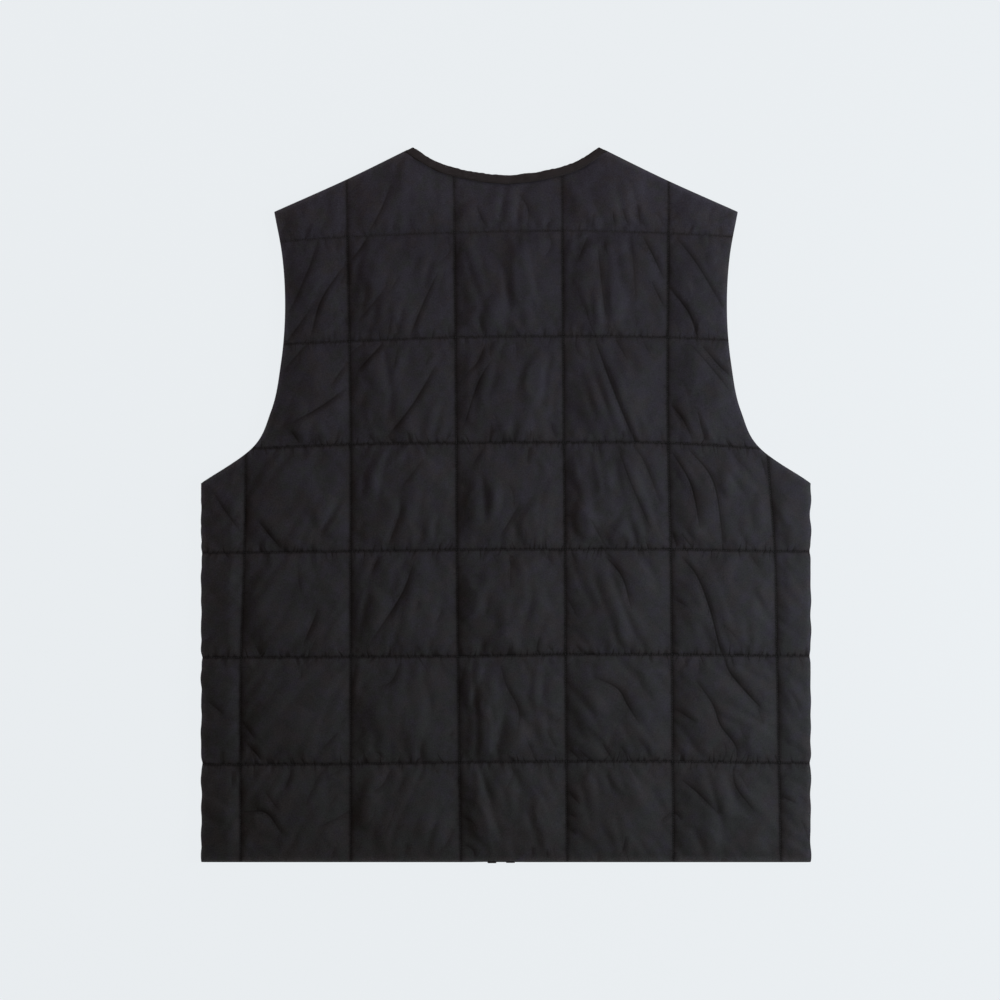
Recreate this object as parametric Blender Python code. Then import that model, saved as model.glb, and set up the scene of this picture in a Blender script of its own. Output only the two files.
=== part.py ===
"""Insulated vest, box-quilted, laid flat on its fronts with its back up.

Frame: metres, +Z up, the origin on the floor under the middle of the vest, the neck towards +Y.
The wearer's left is towards -X, because the back faces up. Sizes in this file are millimetres;
mesh_object() turns them into metres.
"""

import math

import bmesh
import bpy
import numpy as np
from mathutils import Vector
from mathutils.geometry import delaunay_2d_cdt, interpolate_bezier

MM = 0.001

# Cut of the vest, seen from above. Both halves are alike, so only +X is given.
HALF_CHEST = 288.8  # side seam
HEM_Y = -338.0  # hem of the back
FRONT_HEM_Y = -339.2  # the fronts are a little longer
UNDERARM = (288.8, 20.0)
SHOULDER_TIP = (219.5, 277.5)
SHOULDER_MIDDLE = (146.0, 310.5)
NECK_POINT = (88.0, 339.0)
ARMHOLE = ((219.5, 277.5), (212.0, 236.0), (209.3, 196.0), (213.3, 133.5), (222.8, 88.0), (240.0, 54.0), (288.8, 20.0))
BACK_NECK = ((88.0, 339.0), (69.4, 327.3), (31.0, 316.0), (0.0, 312.5))
FRONT_NECK_DROP = 95.0  # from the neck points to the middle of the front neckline
FRONT_ARMHOLE_IN = 12.0  # the front armhole is cut this much deeper

# Centre front: the wearer's left front laps over the right one, so it lies below it here.
LAP_LEFT_EDGE = 8.6  # x where the wearer's left front ends
LAP_RIGHT_EDGE = -17.7  # x where the wearer's right front ends
LAP_RAMP = 11.0  # distance over which a padded front thins to its flat lap
LAP_CLEAR = 5.0  # a front is flat from this far before the other front's edge

# Thicknesses and heights.
GAP = 0.3  # between neighbouring pieces
LAYER_PLANE = 5.6  # the flat plane where the back lies on the fronts
STITCHED = 2.25  # padded cloth pressed together under a line of stitches or at an edge
BACK_LOFT = 8.0  # padded cloth of the back in the middle of a square
LAP_CLOTH = 1.3  # flat cloth of the lap, without padding
LAP_LEFT_TOP = 2.7
LAP_RIGHT_TOP = 4.3
NECK_SAG = 2.5  # the back sinks into the cut-out of the front neck

# Binding tape folded round the neck and the front edges.
TAPE_WIDTH = 8.5
BACK_TAPE_THICK = 3.0
FRONT_TAPE_THICK = 2.4
TAPE_BEYOND_HEM = 1.3
TAPE_CORNER = 0.7

# Press studs, one half on each front.
STUDS = 5
STUD_X = (LAP_LEFT_EDGE + LAP_RIGHT_EDGE) / 2
STUD_FIRST_Y = 222.0
STUD_LAST_Y = -298.0
CAP_RADIUS = 4.3  # fits between the two tapes
CAP_FACE_RADIUS = 3.6
CAP_THICK = 1.1
STUD_BACK_THICK = 0.85
STUD_SIDES = 16

# Quilting: x of each upright line at five heights, and y of each level line at five places across.
UPRIGHT_AT_Y = (-338.0, -145.0, -45.0, 52.0, 300.0)
UPRIGHT_X = (
    (-251.8, -251.3, -248.0, -246.5, -243.0),
    (-147.3, -147.3, -147.3, -147.3, -151.3),
    (-42.8, -45.6, -46.5, -47.0, -49.3),
    (58.0, 56.5, 56.0, 55.1, 53.3),
    (159.1, 157.4, 156.3, 153.9, 154.2),
    (260.8, 257.0, 255.0, 248.0, 247.0),
)
LEVEL_AT_X = (-250.0, -147.0, -47.0, 56.0, 157.0, 250.0)
LEVEL_Y = (
    (-246.7, -246.1, -244.6, -243.7, -243.7, -245.0),
    (-145.2, -144.6, -144.2, -142.6, -142.6, -143.7),
    (-45.8, -44.4, -43.0, -42.5, -42.5, -44.5),
    (52.7, 57.0, 58.4, 59.1, 58.4, 52.7),
    (150.0, 154.8, 158.4, 159.5, 158.4, 154.0),
    (246.5, 254.1, 257.9, 259.8, 257.2, 252.0),
)

# Shape of the padding between two lines of stitches.
FLANK = 7.0  # first row of points beside a line
RISE = 25.0  # second row
PUFF_REACH = 38.0  # distance over which the padding reaches its full height
PUFF_POWER = 2.2
FLAT_FROM = 1.25  # the fronts are pressed flat on the floor where the puff is nearly full
RING_IN = 7.0  # ring of points inside an edge
POINT_IN = 10.5  # inner points keep this far from an edge
EDGE_STEP = 25.0  # spacing of the points along an edge
CURVE_STEP = 14.0  # spacing where an edge is round
CLOSEST = 4.6  # no two points are nearer than this
SAME_POINT = 0.01
EDGE_CLEAR = 2.5  # an edge is only fixed where no other point lies this near

# Largest folds of the back: both ends (x, y), depth and half width of each trough.
BACK_FOLDS = (
    (-151, 230, -186, 157, 1.4, 10),
    (-63, 223, -91, 161, 1.6, 12),
    (161, 250, 207, 184, 1.4, 10),
    (158, 203, 184, 160, 1.6, 9),
    (-153, 108, -204, 76, 1.8, 10),
    (-66, 132, -114, 64, 1.6, 11),
    (85, 154, 121, 64, 1.8, 10),
    (106, 52, 137, -24, 1.3, 9),
    (172, 52, 206, -38, 1.7, 11),
    (-89, -57, -129, -132, 1.7, 11),
    (94, -50, 118, -100, 1.6, 10),
    (167, -50, 204, -138, 2.4, 11),
    (181, -165, 219, -240, 2.2, 11),
    (209, -148, 241, -192, 1.8, 9),
    (82, -163, 127, -209, 1.4, 10),
    (-249, -292, -213, -312, 1.3, 9),
    (167, -260, 203, -294, 1.3, 9),
)
# Folds of the fronts, on the side that lies down.
FRONT_FOLDS = (
    (-66, 132, -112, 66, 1.4, 11),
    (-170, 48, -204, -34, 1.5, 10),
    (-96, -52, -124, -126, 1.5, 10),
    (-168, -160, -214, -232, 1.7, 11),
    (-72, -256, -100, -320, 1.2, 9),
    (70, 140, 108, 68, 1.5, 10),
    (172, 40, 210, -34, 1.4, 10),
    (90, -56, 134, -132, 1.7, 11),
    (176, -158, 206, -234, 1.3, 9),
)
FOLD_TROUGH = (0.08, 0.36, 0.64, 0.92)  # points along a fold, as shares of its length
FOLD_SIDES = (0.22, 0.5, 0.78)  # points beside it

# Colours and finishes: red, green, blue, roughness, metallic.
SHELL = (0.021, 0.020, 0.022, 0.55, 0.0)
TAPE = (0.010, 0.009, 0.009, 0.85, 0.0)
STUD = (0.018, 0.018, 0.019, 0.38, 0.6)


def clear_scene():
    for obj in list(bpy.data.objects):
        bpy.data.objects.remove(obj, do_unlink=True)


def finish_of(name, finish):
    red, green, blue, roughness, metallic = finish
    material = bpy.data.materials.new(name)
    material.use_nodes = True
    shader = material.node_tree.nodes["Principled BSDF"]
    shader.inputs["Base Color"].default_value = (red, green, blue, 1.0)
    shader.inputs["Roughness"].default_value = roughness
    shader.inputs["Metallic"].default_value = metallic
    material.diffuse_color = (red, green, blue, 1.0)
    return material


def mesh_object(name, bm, finish, angle=35.0):
    """A named object from a bmesh in millimetres."""
    bmesh.ops.scale(bm, vec=(MM, MM, MM), verts=bm.verts)
    bmesh.ops.recalc_face_normals(bm, faces=bm.faces)
    mesh = bpy.data.meshes.new(name)
    bm.to_mesh(mesh)
    bm.free()
    mesh.materials.append(finish_of(name, finish))
    mesh.shade_smooth()
    mesh.set_sharp_from_angle(angle=math.radians(angle))
    obj = bpy.data.objects.new(name, mesh)
    bpy.context.scene.collection.objects.link(obj)
    return obj


# Lines in plan


def smooth_through(points, step):
    """Points about step apart on a smooth curve through the given ones."""
    knots = [Vector(p) for p in points]
    curve = [knots[0]]
    for i in range(len(knots) - 1):
        start, end = knots[i], knots[i + 1]
        before = knots[i - 1] if i else start
        after = knots[i + 2] if i + 2 < len(knots) else end
        handle_out = start + (end - before) / 6
        handle_in = end - (after - start) / 6
        count = max(2, round((end - start).length / step) + 1)
        curve += interpolate_bezier(start.to_3d(), handle_out.to_3d(), handle_in.to_3d(), end.to_3d(), count)[1:]
    return [Vector((p[0], p[1])) for p in curve]


def straight(start, end, step=EDGE_STEP):
    count = max(1, round((Vector(end) - Vector(start)).length / step))
    return [Vector(start).lerp(Vector(end), i / count) for i in range(count + 1)]


def mirrored(points):
    return [Vector((-p[0], p[1])) for p in points]


def joined(*lines):
    """One closed outline of lines that each start where the last one ends."""
    outline = []
    for line in lines:
        outline += line[:-1]
    return outline


def moved_in(line, distance, start_along=None, end_along=None):
    """The line moved to its left. Its ends slide along the given directions."""
    moved = []
    for i, point in enumerate(line):
        before, after = line[max(i - 1, 0)], line[min(i + 1, len(line) - 1)]
        tangent = (after - before).normalized()
        normal = Vector((-tangent.y, tangent.x))
        along = start_along if i == 0 else end_along if i == len(line) - 1 else None
        if along is None:
            moved.append(point + normal * distance)
        else:
            moved.append(point + along * (distance / along.dot(normal)))
    return moved


def ring_inside(outline, distance):
    ring = []
    for i, point in enumerate(outline):
        into = (point - outline[i - 1]).normalized()
        out = (outline[(i + 1) % len(outline)] - point).normalized()
        normal = Vector((-into.y - out.y, into.x + out.x)).normalized()
        reach = min(1.6, 1 / max(0.2, normal.dot(Vector((-into.y, into.x)))))
        ring.append(point + normal * distance * reach)
    return ring


def distance_to(line, x, y, closed=True):
    """Distance from each (x, y) to a line of points."""
    corners = np.array([(p[0], p[1]) for p in line])
    ends = np.roll(corners, -1, axis=0) if closed else corners[1:]
    starts = corners if closed else corners[:-1]
    nearest = np.full(np.shape(x), np.inf)
    for (ax, ay), (bx, by) in zip(starts, ends):
        length = (bx - ax) ** 2 + (by - ay) ** 2
        along = np.clip(((x - ax) * (bx - ax) + (y - ay) * (by - ay)) / length, 0, 1)
        nearest = np.minimum(nearest, np.hypot(x - ax - along * (bx - ax), y - ay - along * (by - ay)))
    return nearest


def is_inside(outline, x, y):
    inside = False
    for i, a in enumerate(outline):
        b = outline[i - 1]
        if (a[1] > y) != (b[1] > y) and x < a[0] + (b[0] - a[0]) * (y - a[1]) / (b[1] - a[1]):
            inside = not inside
    return inside


# Quilting and padding


def upright_x(index, y):
    return np.interp(y, UPRIGHT_AT_Y, UPRIGHT_X[index])


def level_y(index, x):
    return np.interp(x, LEVEL_AT_X, LEVEL_Y[index])


def puff(distance):
    """Share of the full height at a distance from a line of stitches or an edge."""
    near = np.clip(1 - np.asarray(distance) / PUFF_REACH, 0, 1)
    return 1 - near**PUFF_POWER


def quilt_puff(x, y):
    across = np.min([np.abs(x - upright_x(i, y)) for i in range(len(UPRIGHT_X))], axis=0)
    along = np.min([np.abs(y - level_y(i, x)) for i in range(len(LEVEL_Y))], axis=0)
    return puff(across) * puff(along)


def fold_depth(folds, x, y):
    """How far the troughs of the folds sink at (x, y)."""
    depth = np.zeros(np.shape(x))
    for x1, y1, x2, y2, deep, half in folds:
        length = math.hypot(x2 - x1, y2 - y1)
        along = ((x - x1) * (x2 - x1) + (y - y1) * (y2 - y1)) / length**2
        aside = np.abs((x - x1) * (y2 - y1) - (y - y1) * (x2 - x1)) / length
        ends = np.clip(np.sin(np.pi * np.clip(along, 0, 1)), 0, 1) ** 0.5
        depth = np.maximum(depth, deep * ends * np.clip(1 - aside / half, 0, 1))
    return depth


def front_neck_y(x):
    """Edge of the front neckline, a half ellipse hung from the neck points."""
    return NECK_POINT[1] - FRONT_NECK_DROP * math.sqrt(max(0.0, 1 - (x / NECK_POINT[0]) ** 2))


def neck_sag(x, y):
    """How far the back sinks where no front lies under it."""
    share = np.clip(1 - (x / NECK_POINT[0]) ** 2, 0, 1)
    edge = NECK_POINT[1] - FRONT_NECK_DROP * np.sqrt(share)
    return NECK_SAG * share * np.clip((y - edge) / 45.0, 0, 1)


# Outlines of the pieces, anticlockwise seen from above


def shoulder_direction():
    return (Vector(SHOULDER_MIDDLE) - Vector(NECK_POINT)).normalized()


def right_armhole(cut_in):
    """From the underarm up to the shoulder tip."""
    curve = smooth_through(ARMHOLE, CURVE_STEP)[::-1]
    last = len(curve) - 1
    return [Vector((p.x - cut_in * math.sin(math.pi * i / last), p.y)) for i, p in enumerate(curve)]


def back_neck():
    """Outer edge of the back neckline from the right neck point to the left one."""
    half = smooth_through(BACK_NECK, CURVE_STEP)
    return half + mirrored(half[:-1])[::-1]


def back_outline():
    along = shoulder_direction()
    neck = moved_in(back_neck(), TAPE_WIDTH + GAP, along, Vector((-along.x, along.y)))
    shoulder = smooth_through((SHOULDER_TIP, SHOULDER_MIDDLE, neck[0]), EDGE_STEP)
    side = straight((HALF_CHEST, HEM_Y), UNDERARM)
    right = joined(side, right_armhole(0), shoulder)
    left = mirrored(joined(side, right_armhole(0), shoulder))[::-1]
    hem = straight((-HALF_CHEST, HEM_Y), (HALF_CHEST, HEM_Y))
    return right + neck + left + hem[1:-1]


def front_neck(flat_from, edge_x):
    """Outer edge of the +X front neckline: an arc from the neck point to flat_from, then to edge_x."""
    turns = [0.0] + [math.acos(x / NECK_POINT[0]) for x in (flat_from, edge_x)]
    line = []
    for start, end in zip(turns, turns[1:]):
        steps = max(1, round((end - start) * NECK_POINT[0] / CURVE_STEP))
        line += [start + (end - start) * i / steps for i in range(steps)]
    line.append(turns[-1])
    across, down = NECK_POINT[0], FRONT_NECK_DROP
    return [Vector((across * math.cos(turn), NECK_POINT[1] - down * math.sin(turn))) for turn in line]


def front_outline(flat_from, edge_x):
    """The front on the +X side, which is flat from flat_from to the end of its lap at edge_x."""
    inner_x = edge_x + TAPE_WIDTH + GAP
    neck_line = front_neck(flat_from, inner_x)
    neck = moved_in(neck_line, TAPE_WIDTH + GAP, shoulder_direction(), Vector((0.0, -1.0)))
    shoulder = smooth_through((SHOULDER_TIP, SHOULDER_MIDDLE, neck[0]), EDGE_STEP)
    side = straight((HALF_CHEST, FRONT_HEM_Y), UNDERARM)
    lap = straight(neck[-1], (inner_x, FRONT_HEM_Y))
    hem_stops = [inner_x, flat_from, flat_from + LAP_RAMP, HALF_CHEST]
    hem = [straight((a, FRONT_HEM_Y), (b, FRONT_HEM_Y)) for a, b in zip(hem_stops, hem_stops[1:])]
    return joined(side, right_armhole(FRONT_ARMHOLE_IN), shoulder, neck, lap, *hem)


# Panels


def stations(low, high, at):
    """Places across one quilted row: on the line, beside it, at the rise and in the middle."""
    start, end = low(at), high(at)
    beside = (0.0, FLANK, RISE) if end - start > 2.5 * RISE else (0.0, FLANK)
    return [start + b for b in beside] + [(start + end) / 2] + [end - b for b in reversed(beside[1:])]


def quilt_points():
    """Rows of points, every upright place crossed with every level place, and which lie on stitches."""
    uprights = [lambda y: -HALF_CHEST] + [lambda y, i=i: upright_x(i, y) for i in range(len(UPRIGHT_X))]
    uprights.append(lambda y: HALF_CHEST)
    levels = [lambda x: HEM_Y] + [lambda x, i=i: level_y(i, x) for i in range(len(LEVEL_Y))]
    levels.append(lambda x: NECK_POINT[1] + FLANK)
    rows, stitched_rows, stitched_columns = [], [], []
    for low, high in zip(levels, levels[1:]):
        for place, y in enumerate(stations(low, high, 0.0)):
            columns = [stations(left, right, y) for left, right in zip(uprights, uprights[1:])]
            rows.append([(x, stations(low, high, x)[place]) for column in columns for x in column])
            stitched_rows.append(place == 0)
            stitched_columns = [i == 0 for column in columns for i in range(len(column))]
    return rows, stitched_rows, stitched_columns


def fold_points(folds):
    points = []
    for x1, y1, x2, y2, _, half in folds:
        start, end = Vector((x1, y1)), Vector((x2, y2))
        aside = Vector((y1 - y2, x2 - x1)).normalized() * half
        points += [start.lerp(end, share) for share in FOLD_TROUGH]
        for share in FOLD_SIDES:
            points += [start.lerp(end, share) + aside, start.lerp(end, share) - aside]
    return points


class Plan:
    """Points and fixed edges of one face of a panel, seen from above."""

    def __init__(self, outline):
        self.outline = outline
        self.points = list(outline)
        self.edges = [(i, (i + 1) % len(outline)) for i in range(len(outline))]

    def add(self, x, y, edge_room=POINT_IN):
        """The number of the point, or None where it would crowd an edge or another point."""
        distances = [math.hypot(p[0] - x, p[1] - y) for p in self.points]
        nearest = min(range(len(distances)), key=distances.__getitem__)
        if distances[nearest] < SAME_POINT:
            return nearest
        if not is_inside(self.outline, x, y) or distance_to(self.outline, x, y) < edge_room:
            return None
        if distances[nearest] < CLOSEST:
            return None
        self.points.append(Vector((x, y)))
        return len(self.points) - 1

    def add_line(self, points, edge_room=POINT_IN):
        self.tie([self.add(p[0], p[1], edge_room) for p in points])

    def tie(self, numbers):
        """Joins neighbouring points by edges that every triangle respects, unless others lie in the way."""
        x, y = np.array([(p[0], p[1]) for p in self.points]).T
        for a, b in zip(numbers, numbers[1:]):
            if a is None or b is None or a == b:
                continue
            near = distance_to([self.points[a], self.points[b]], x, y, closed=False)
            near[[a, b]] = np.inf
            if near.min() > EDGE_CLEAR:
                self.edges.append((a, b))

    def triangles(self):
        flat = [Vector((p[0], p[1])) for p in self.points]
        loop = list(range(len(self.outline)))
        made = delaunay_2d_cdt(flat, self.edges, [loop], 1, 1e-5)
        return [tuple(v) for v in made[0]], made[2], made[3]


def add_face(bm, plan, height, upward):
    """Adds one face of a panel, and gives its edge points in the order of the outline."""
    places, triangles, sources = plan.triangles()
    x, y = np.array(places).T
    verts = [bm.verts.new((a, b, c)) for a, b, c in zip(x, y, height(x, y))]
    for triangle in triangles:
        corners = [verts[i] for i in triangle]
        a, b, c = (corner.co.xy for corner in corners)
        turn = (b - a).cross(c - a)
        if (turn > 0) != upward:
            corners.reverse()
        bm.faces.new(corners)
    edge = {}
    for vert, origins in zip(verts, sources):
        for origin in origins:
            edge[origin] = vert
    return [edge[i] for i in range(len(plan.outline))]


def panel(name, upper, lower, upper_height, lower_height):
    """A closed panel between two faces that share their outline."""
    bm = bmesh.new()
    top = add_face(bm, upper, upper_height, True)
    bottom = add_face(bm, lower, lower_height, False)
    for i in range(len(top)):
        j = (i + 1) % len(top)
        bm.faces.new((top[i], bottom[i], bottom[j], top[j]))
    return mesh_object(name, bm, SHELL)


def quilted_plan(outline, folds, extra_columns=()):
    plan = Plan(outline)
    for point in ring_inside(outline, RING_IN):
        plan.add(point.x, point.y, edge_room=0.8 * RING_IN)
    for point in fold_points(folds):
        plan.add(point.x, point.y)
    for x in extra_columns:
        plan.add_line(straight((x, FRONT_HEM_Y), (x, NECK_POINT[1])), edge_room=3.0)
    rows, stitched_rows, stitched_columns = quilt_points()

    def add_clear(x, y):
        crowds = any(abs(x - column) < CLOSEST for column in extra_columns)
        return None if crowds else plan.add(x, y)

    numbers = [[add_clear(x, y) for x, y in row] for row in rows]
    for row, stitched in zip(numbers, stitched_rows):
        if stitched:
            plan.tie(row)
    for column, stitched in zip(zip(*numbers), stitched_columns):
        if stitched:
            plan.tie(column)
    return plan


def build_back():
    outline = back_outline()
    floor = LAYER_PLANE + GAP / 2

    def upper(x, y):
        full = quilt_puff(x, y) * puff(distance_to(outline, x, y))
        sunk = neck_sag(x, y) + fold_depth(BACK_FOLDS, x, y) * full
        return floor + STITCHED + (BACK_LOFT - STITCHED) * full - sunk

    def lower(x, y):
        return floor - neck_sag(x, y)

    under = Plan(outline)
    cutout = [Vector((x, front_neck_y(x) + 1.0)) for x in np.linspace(-84.0, 84.0, 15)]
    under.add_line(cutout, edge_room=3.0)
    for x in (-45.0, -15.0, 15.0, 45.0):
        under.add(x, 285.0)
    return panel("back", quilted_plan(outline, BACK_FOLDS), under, upper, lower)


class Front:
    """Where one front lies. Its x values are measured as on a front that lies on the +X side."""

    def __init__(self, name, side, edge_x, other_edge_x, lap_top, tape_top):
        self.name = name
        self.side = side
        self.edge_x = edge_x
        self.flat_from = other_edge_x + LAP_CLEAR
        self.lap_top = lap_top
        self.tape_top = tape_top
        self.full_top = LAYER_PLANE - GAP / 2

    def into_lap(self, x):
        return np.clip((self.flat_from + LAP_RAMP - self.side * x) / LAP_RAMP, 0, 1)

    def turned(self, line):
        """The line on this front's own side."""
        return mirrored(line) if self.side < 0 else line


def build_front(front):
    outline = front.turned(front_outline(front.flat_from, front.edge_x))
    if front.side < 0:
        outline.reverse()

    def upper(x, y):
        return front.full_top - (front.full_top - front.lap_top) * front.into_lap(x)

    def lower(x, y):
        from_lap = np.clip(front.side * x - front.flat_from, 0, None)
        full = quilt_puff(x, y) * puff(distance_to(outline, x, y)) * puff(from_lap)
        thin = STITCHED - (STITCHED - LAP_CLOTH) * front.into_lap(x)
        gathered = np.clip(1 - FLAT_FROM * full, 0, 1)
        return (upper(x, y) - thin) * gathered + fold_depth(FRONT_FOLDS, x, y) * full

    columns = (front.side * front.flat_from, front.side * (front.flat_from + LAP_RAMP))
    down = quilted_plan(outline, FRONT_FOLDS, columns)
    up = Plan(outline)
    below_neck = NECK_POINT[1] - FRONT_NECK_DROP - 2 * TAPE_WIDTH
    for x in columns:
        column = straight((x, FRONT_HEM_Y), (x, below_neck), 60.0)
        up.add_line(column + straight((x, below_neck), (x, NECK_POINT[1]), 5.0)[1:], edge_room=1.0)
    return panel("front_" + front.name, up, down, upper, lower)


# Bindings


def tape(name, outer, inner, low, high):
    """A strip of folded tape between two lines in plan. low and high give its height at each point."""
    bm = bmesh.new()
    rings = []
    for a, b in zip(outer, inner):
        corner = (b - a).normalized() * TAPE_CORNER
        z_low, z_high = low(a.x, a.y), high(a.x, a.y)
        plan = ((a, z_low + TAPE_CORNER), (a + corner, z_low), (b - corner, z_low), (b, z_low + TAPE_CORNER))
        over = ((b, z_high - TAPE_CORNER), (b - corner, z_high), (a + corner, z_high), (a, z_high - TAPE_CORNER))
        rings.append([bm.verts.new((p.x, p.y, z)) for p, z in plan + over])
    for ring, following in zip(rings, rings[1:]):
        for i in range(len(ring)):
            j = (i + 1) % len(ring)
            bm.faces.new((ring[i], ring[j], following[j], following[i]))
    bm.faces.new(rings[0])
    bm.faces.new(rings[-1])
    return mesh_object(name, bm, TAPE)


def build_back_tape():
    along = shoulder_direction()
    outer = back_neck()
    inner = moved_in(outer, TAPE_WIDTH, along, Vector((-along.x, along.y)))
    floor = LAYER_PLANE + GAP / 2
    tape(
        "neck_binding_back",
        outer,
        inner,
        lambda x, y: floor - float(neck_sag(x, y)),
        lambda x, y: floor + BACK_TAPE_THICK - float(neck_sag(x, y)),
    )


def build_front_tapes(front):
    """The neck stretch and the front edge of one side."""

    def high(x, y):
        return front.full_top - (front.full_top - front.tape_top) * float(front.into_lap(x))

    def low(x, y):
        return high(x, y) - FRONT_TAPE_THICK

    outer = front_neck(front.flat_from, front.edge_x)
    inner = moved_in(outer, TAPE_WIDTH, shoulder_direction(), Vector((0.0, -1.0)))
    top_y = min(inner[-1].y, inner[-2].y) - GAP
    edge = straight((front.edge_x, top_y), (front.edge_x, FRONT_HEM_Y - TAPE_BEYOND_HEM), 90.0)
    beside = [p + Vector((TAPE_WIDTH, 0.0)) for p in edge]
    tape("neck_binding_" + front.name, front.turned(outer), front.turned(inner), low, high)
    tape("edge_binding_" + front.name, front.turned(edge), front.turned(beside), low, high)


# Press studs


def build_stud(number, y):
    """The cap on the outer face of the left front, and the back of its other half on the right front."""
    cap = bmesh.new()
    bmesh.ops.create_cone(
        cap, cap_ends=True, segments=STUD_SIDES, radius1=CAP_FACE_RADIUS, radius2=CAP_RADIUS, depth=CAP_THICK
    )
    bmesh.ops.translate(cap, verts=cap.verts, vec=(STUD_X, y, CAP_THICK / 2))
    mesh_object(f"snap_cap_{number}", cap, STUD)
    back = bmesh.new()
    bmesh.ops.create_cone(
        back, cap_ends=True, segments=STUD_SIDES, radius1=CAP_RADIUS, radius2=CAP_FACE_RADIUS, depth=STUD_BACK_THICK
    )
    middle_z = LAP_RIGHT_TOP + GAP + STUD_BACK_THICK / 2
    bmesh.ops.translate(back, verts=back.verts, vec=(STUD_X, y, middle_z))
    mesh_object(f"snap_back_{number}", back, STUD)


def main():
    clear_scene()
    build_back()
    build_back_tape()
    full_top = LAYER_PLANE - GAP / 2
    left = Front("left", -1, -LAP_LEFT_EDGE, -LAP_RIGHT_EDGE, LAP_LEFT_TOP, LAP_LEFT_TOP)
    right = Front("right", 1, LAP_RIGHT_EDGE, LAP_LEFT_EDGE, LAP_RIGHT_TOP, full_top)
    for front in (left, right):
        build_front(front)
        build_front_tapes(front)
    for number, y in enumerate(np.linspace(STUD_FIRST_Y, STUD_LAST_Y, STUDS), start=1):
        build_stud(number, float(y))


main()
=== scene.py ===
# %% [markdown]
# # An insulated vest, laid flat with its back up
# The vest is sewn from three padded panels: one back and two fronts. Lines of stitches cross each
# panel and cut the padding into squares of about 100 mm, so the cloth bulges between them and
# gathers along them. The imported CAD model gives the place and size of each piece. This script
# dresses it: it makes the fine cloth, the stitches, the tapes and the press studs.

import math

import bmesh
import bpy
import numpy as np
from mathutils import Matrix, Vector
from mathutils.kdtree import KDTree


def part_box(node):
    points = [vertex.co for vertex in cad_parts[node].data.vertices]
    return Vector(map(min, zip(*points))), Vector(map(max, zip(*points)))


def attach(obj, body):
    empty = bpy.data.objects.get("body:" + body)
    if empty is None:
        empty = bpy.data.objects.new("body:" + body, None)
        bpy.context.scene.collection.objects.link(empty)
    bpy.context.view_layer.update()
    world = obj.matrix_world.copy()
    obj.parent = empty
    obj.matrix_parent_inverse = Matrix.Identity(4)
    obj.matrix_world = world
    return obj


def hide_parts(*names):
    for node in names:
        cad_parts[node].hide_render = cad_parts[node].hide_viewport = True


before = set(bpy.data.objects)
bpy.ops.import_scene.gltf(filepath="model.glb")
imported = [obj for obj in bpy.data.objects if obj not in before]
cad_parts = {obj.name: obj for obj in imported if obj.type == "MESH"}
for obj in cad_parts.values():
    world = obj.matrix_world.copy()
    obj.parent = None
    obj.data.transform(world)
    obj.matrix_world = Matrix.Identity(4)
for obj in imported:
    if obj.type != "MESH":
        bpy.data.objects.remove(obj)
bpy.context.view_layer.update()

# %% [markdown]
# ## Camera
# The vest lies on a table and is looked at from straight above. A long lens far away keeps the
# edges of the cloth upright, as a product shot does: the lens is worked out from the width of the
# view at the height of the cloth.

# %% Camera
MM = 0.001
BACK_LOW, BACK_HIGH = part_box("back")
VIEW_CENTRE = (-5.7 * MM, 4.3 * MM)
VIEW_WIDTH = 0.95
CAMERA_DISTANCE = 3.4
SENSOR = 36.0

camera_data = bpy.data.cameras.new("camera")
camera_data.sensor_width = SENSOR
camera_data.lens = SENSOR * CAMERA_DISTANCE / VIEW_WIDTH
camera = bpy.data.objects.new("camera", camera_data)
camera.location = (*VIEW_CENTRE, BACK_LOW[2] + CAMERA_DISTANCE)
bpy.context.scene.collection.objects.link(camera)
bpy.context.scene.camera = camera
print("lens:", round(camera_data.lens, 1), "mm")

# %% [markdown]
# ## Light and floor
# Black cloth shows its shape only through the light that its slopes throw back. One soft box
# stands low on the right, so each padded square is dark on its left flank and bright on its right
# one. A weak large lamp above fills the troughs, and a small one beyond the neck lifts the upper
# rows. The soft box is a little cool and the rest is warm, so lit cloth is bluer than cloth in
# the shade. The floor is pale and glows by itself, so it stays even and its shadow stays faint.

# %% Light and floor
def look_at(obj, target):
    way = Vector(target) - obj.location
    obj.rotation_euler = way.to_track_quat("-Z", "Y").to_euler()


def soft_box(name, azimuth, elevation, distance, size, power, colour):
    """A square lamp that looks at the vest. Azimuth 0 is the right, 90 the neck."""
    lamp = bpy.data.lights.new(name, "AREA")
    lamp.shape = "SQUARE"
    lamp.size = size
    lamp.energy = power
    lamp.color = colour
    obj = bpy.data.objects.new(name, lamp)
    turn, rise = math.radians(azimuth), math.radians(elevation)
    flat = distance * math.cos(rise)
    obj.location = (flat * math.cos(turn), flat * math.sin(turn), distance * math.sin(rise))
    look_at(obj, (0, 0, 0))
    bpy.context.scene.collection.objects.link(obj)
    return obj


soft_box("key_light", -2, 30, 1.3, 0.78, 12.4, (0.879, 0.985, 1.076))
soft_box("fill_light", 20, 78, 2.6, 2.4, 4, (1.147, 0.98, 0.725))
soft_box("neck_light", 120, 36, 1.15, 0.8, 1.45, (1.1, 0.98, 1.12))

world = bpy.data.worlds.new("studio")
bpy.context.scene.world = world
world.use_nodes = True
world.node_tree.nodes["Background"].inputs["Color"].default_value = (1.11, 0.95, 0.703, 1)
world.node_tree.nodes["Background"].inputs["Strength"].default_value = 0.075
bpy.context.scene.view_settings.view_transform = "Standard"

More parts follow.
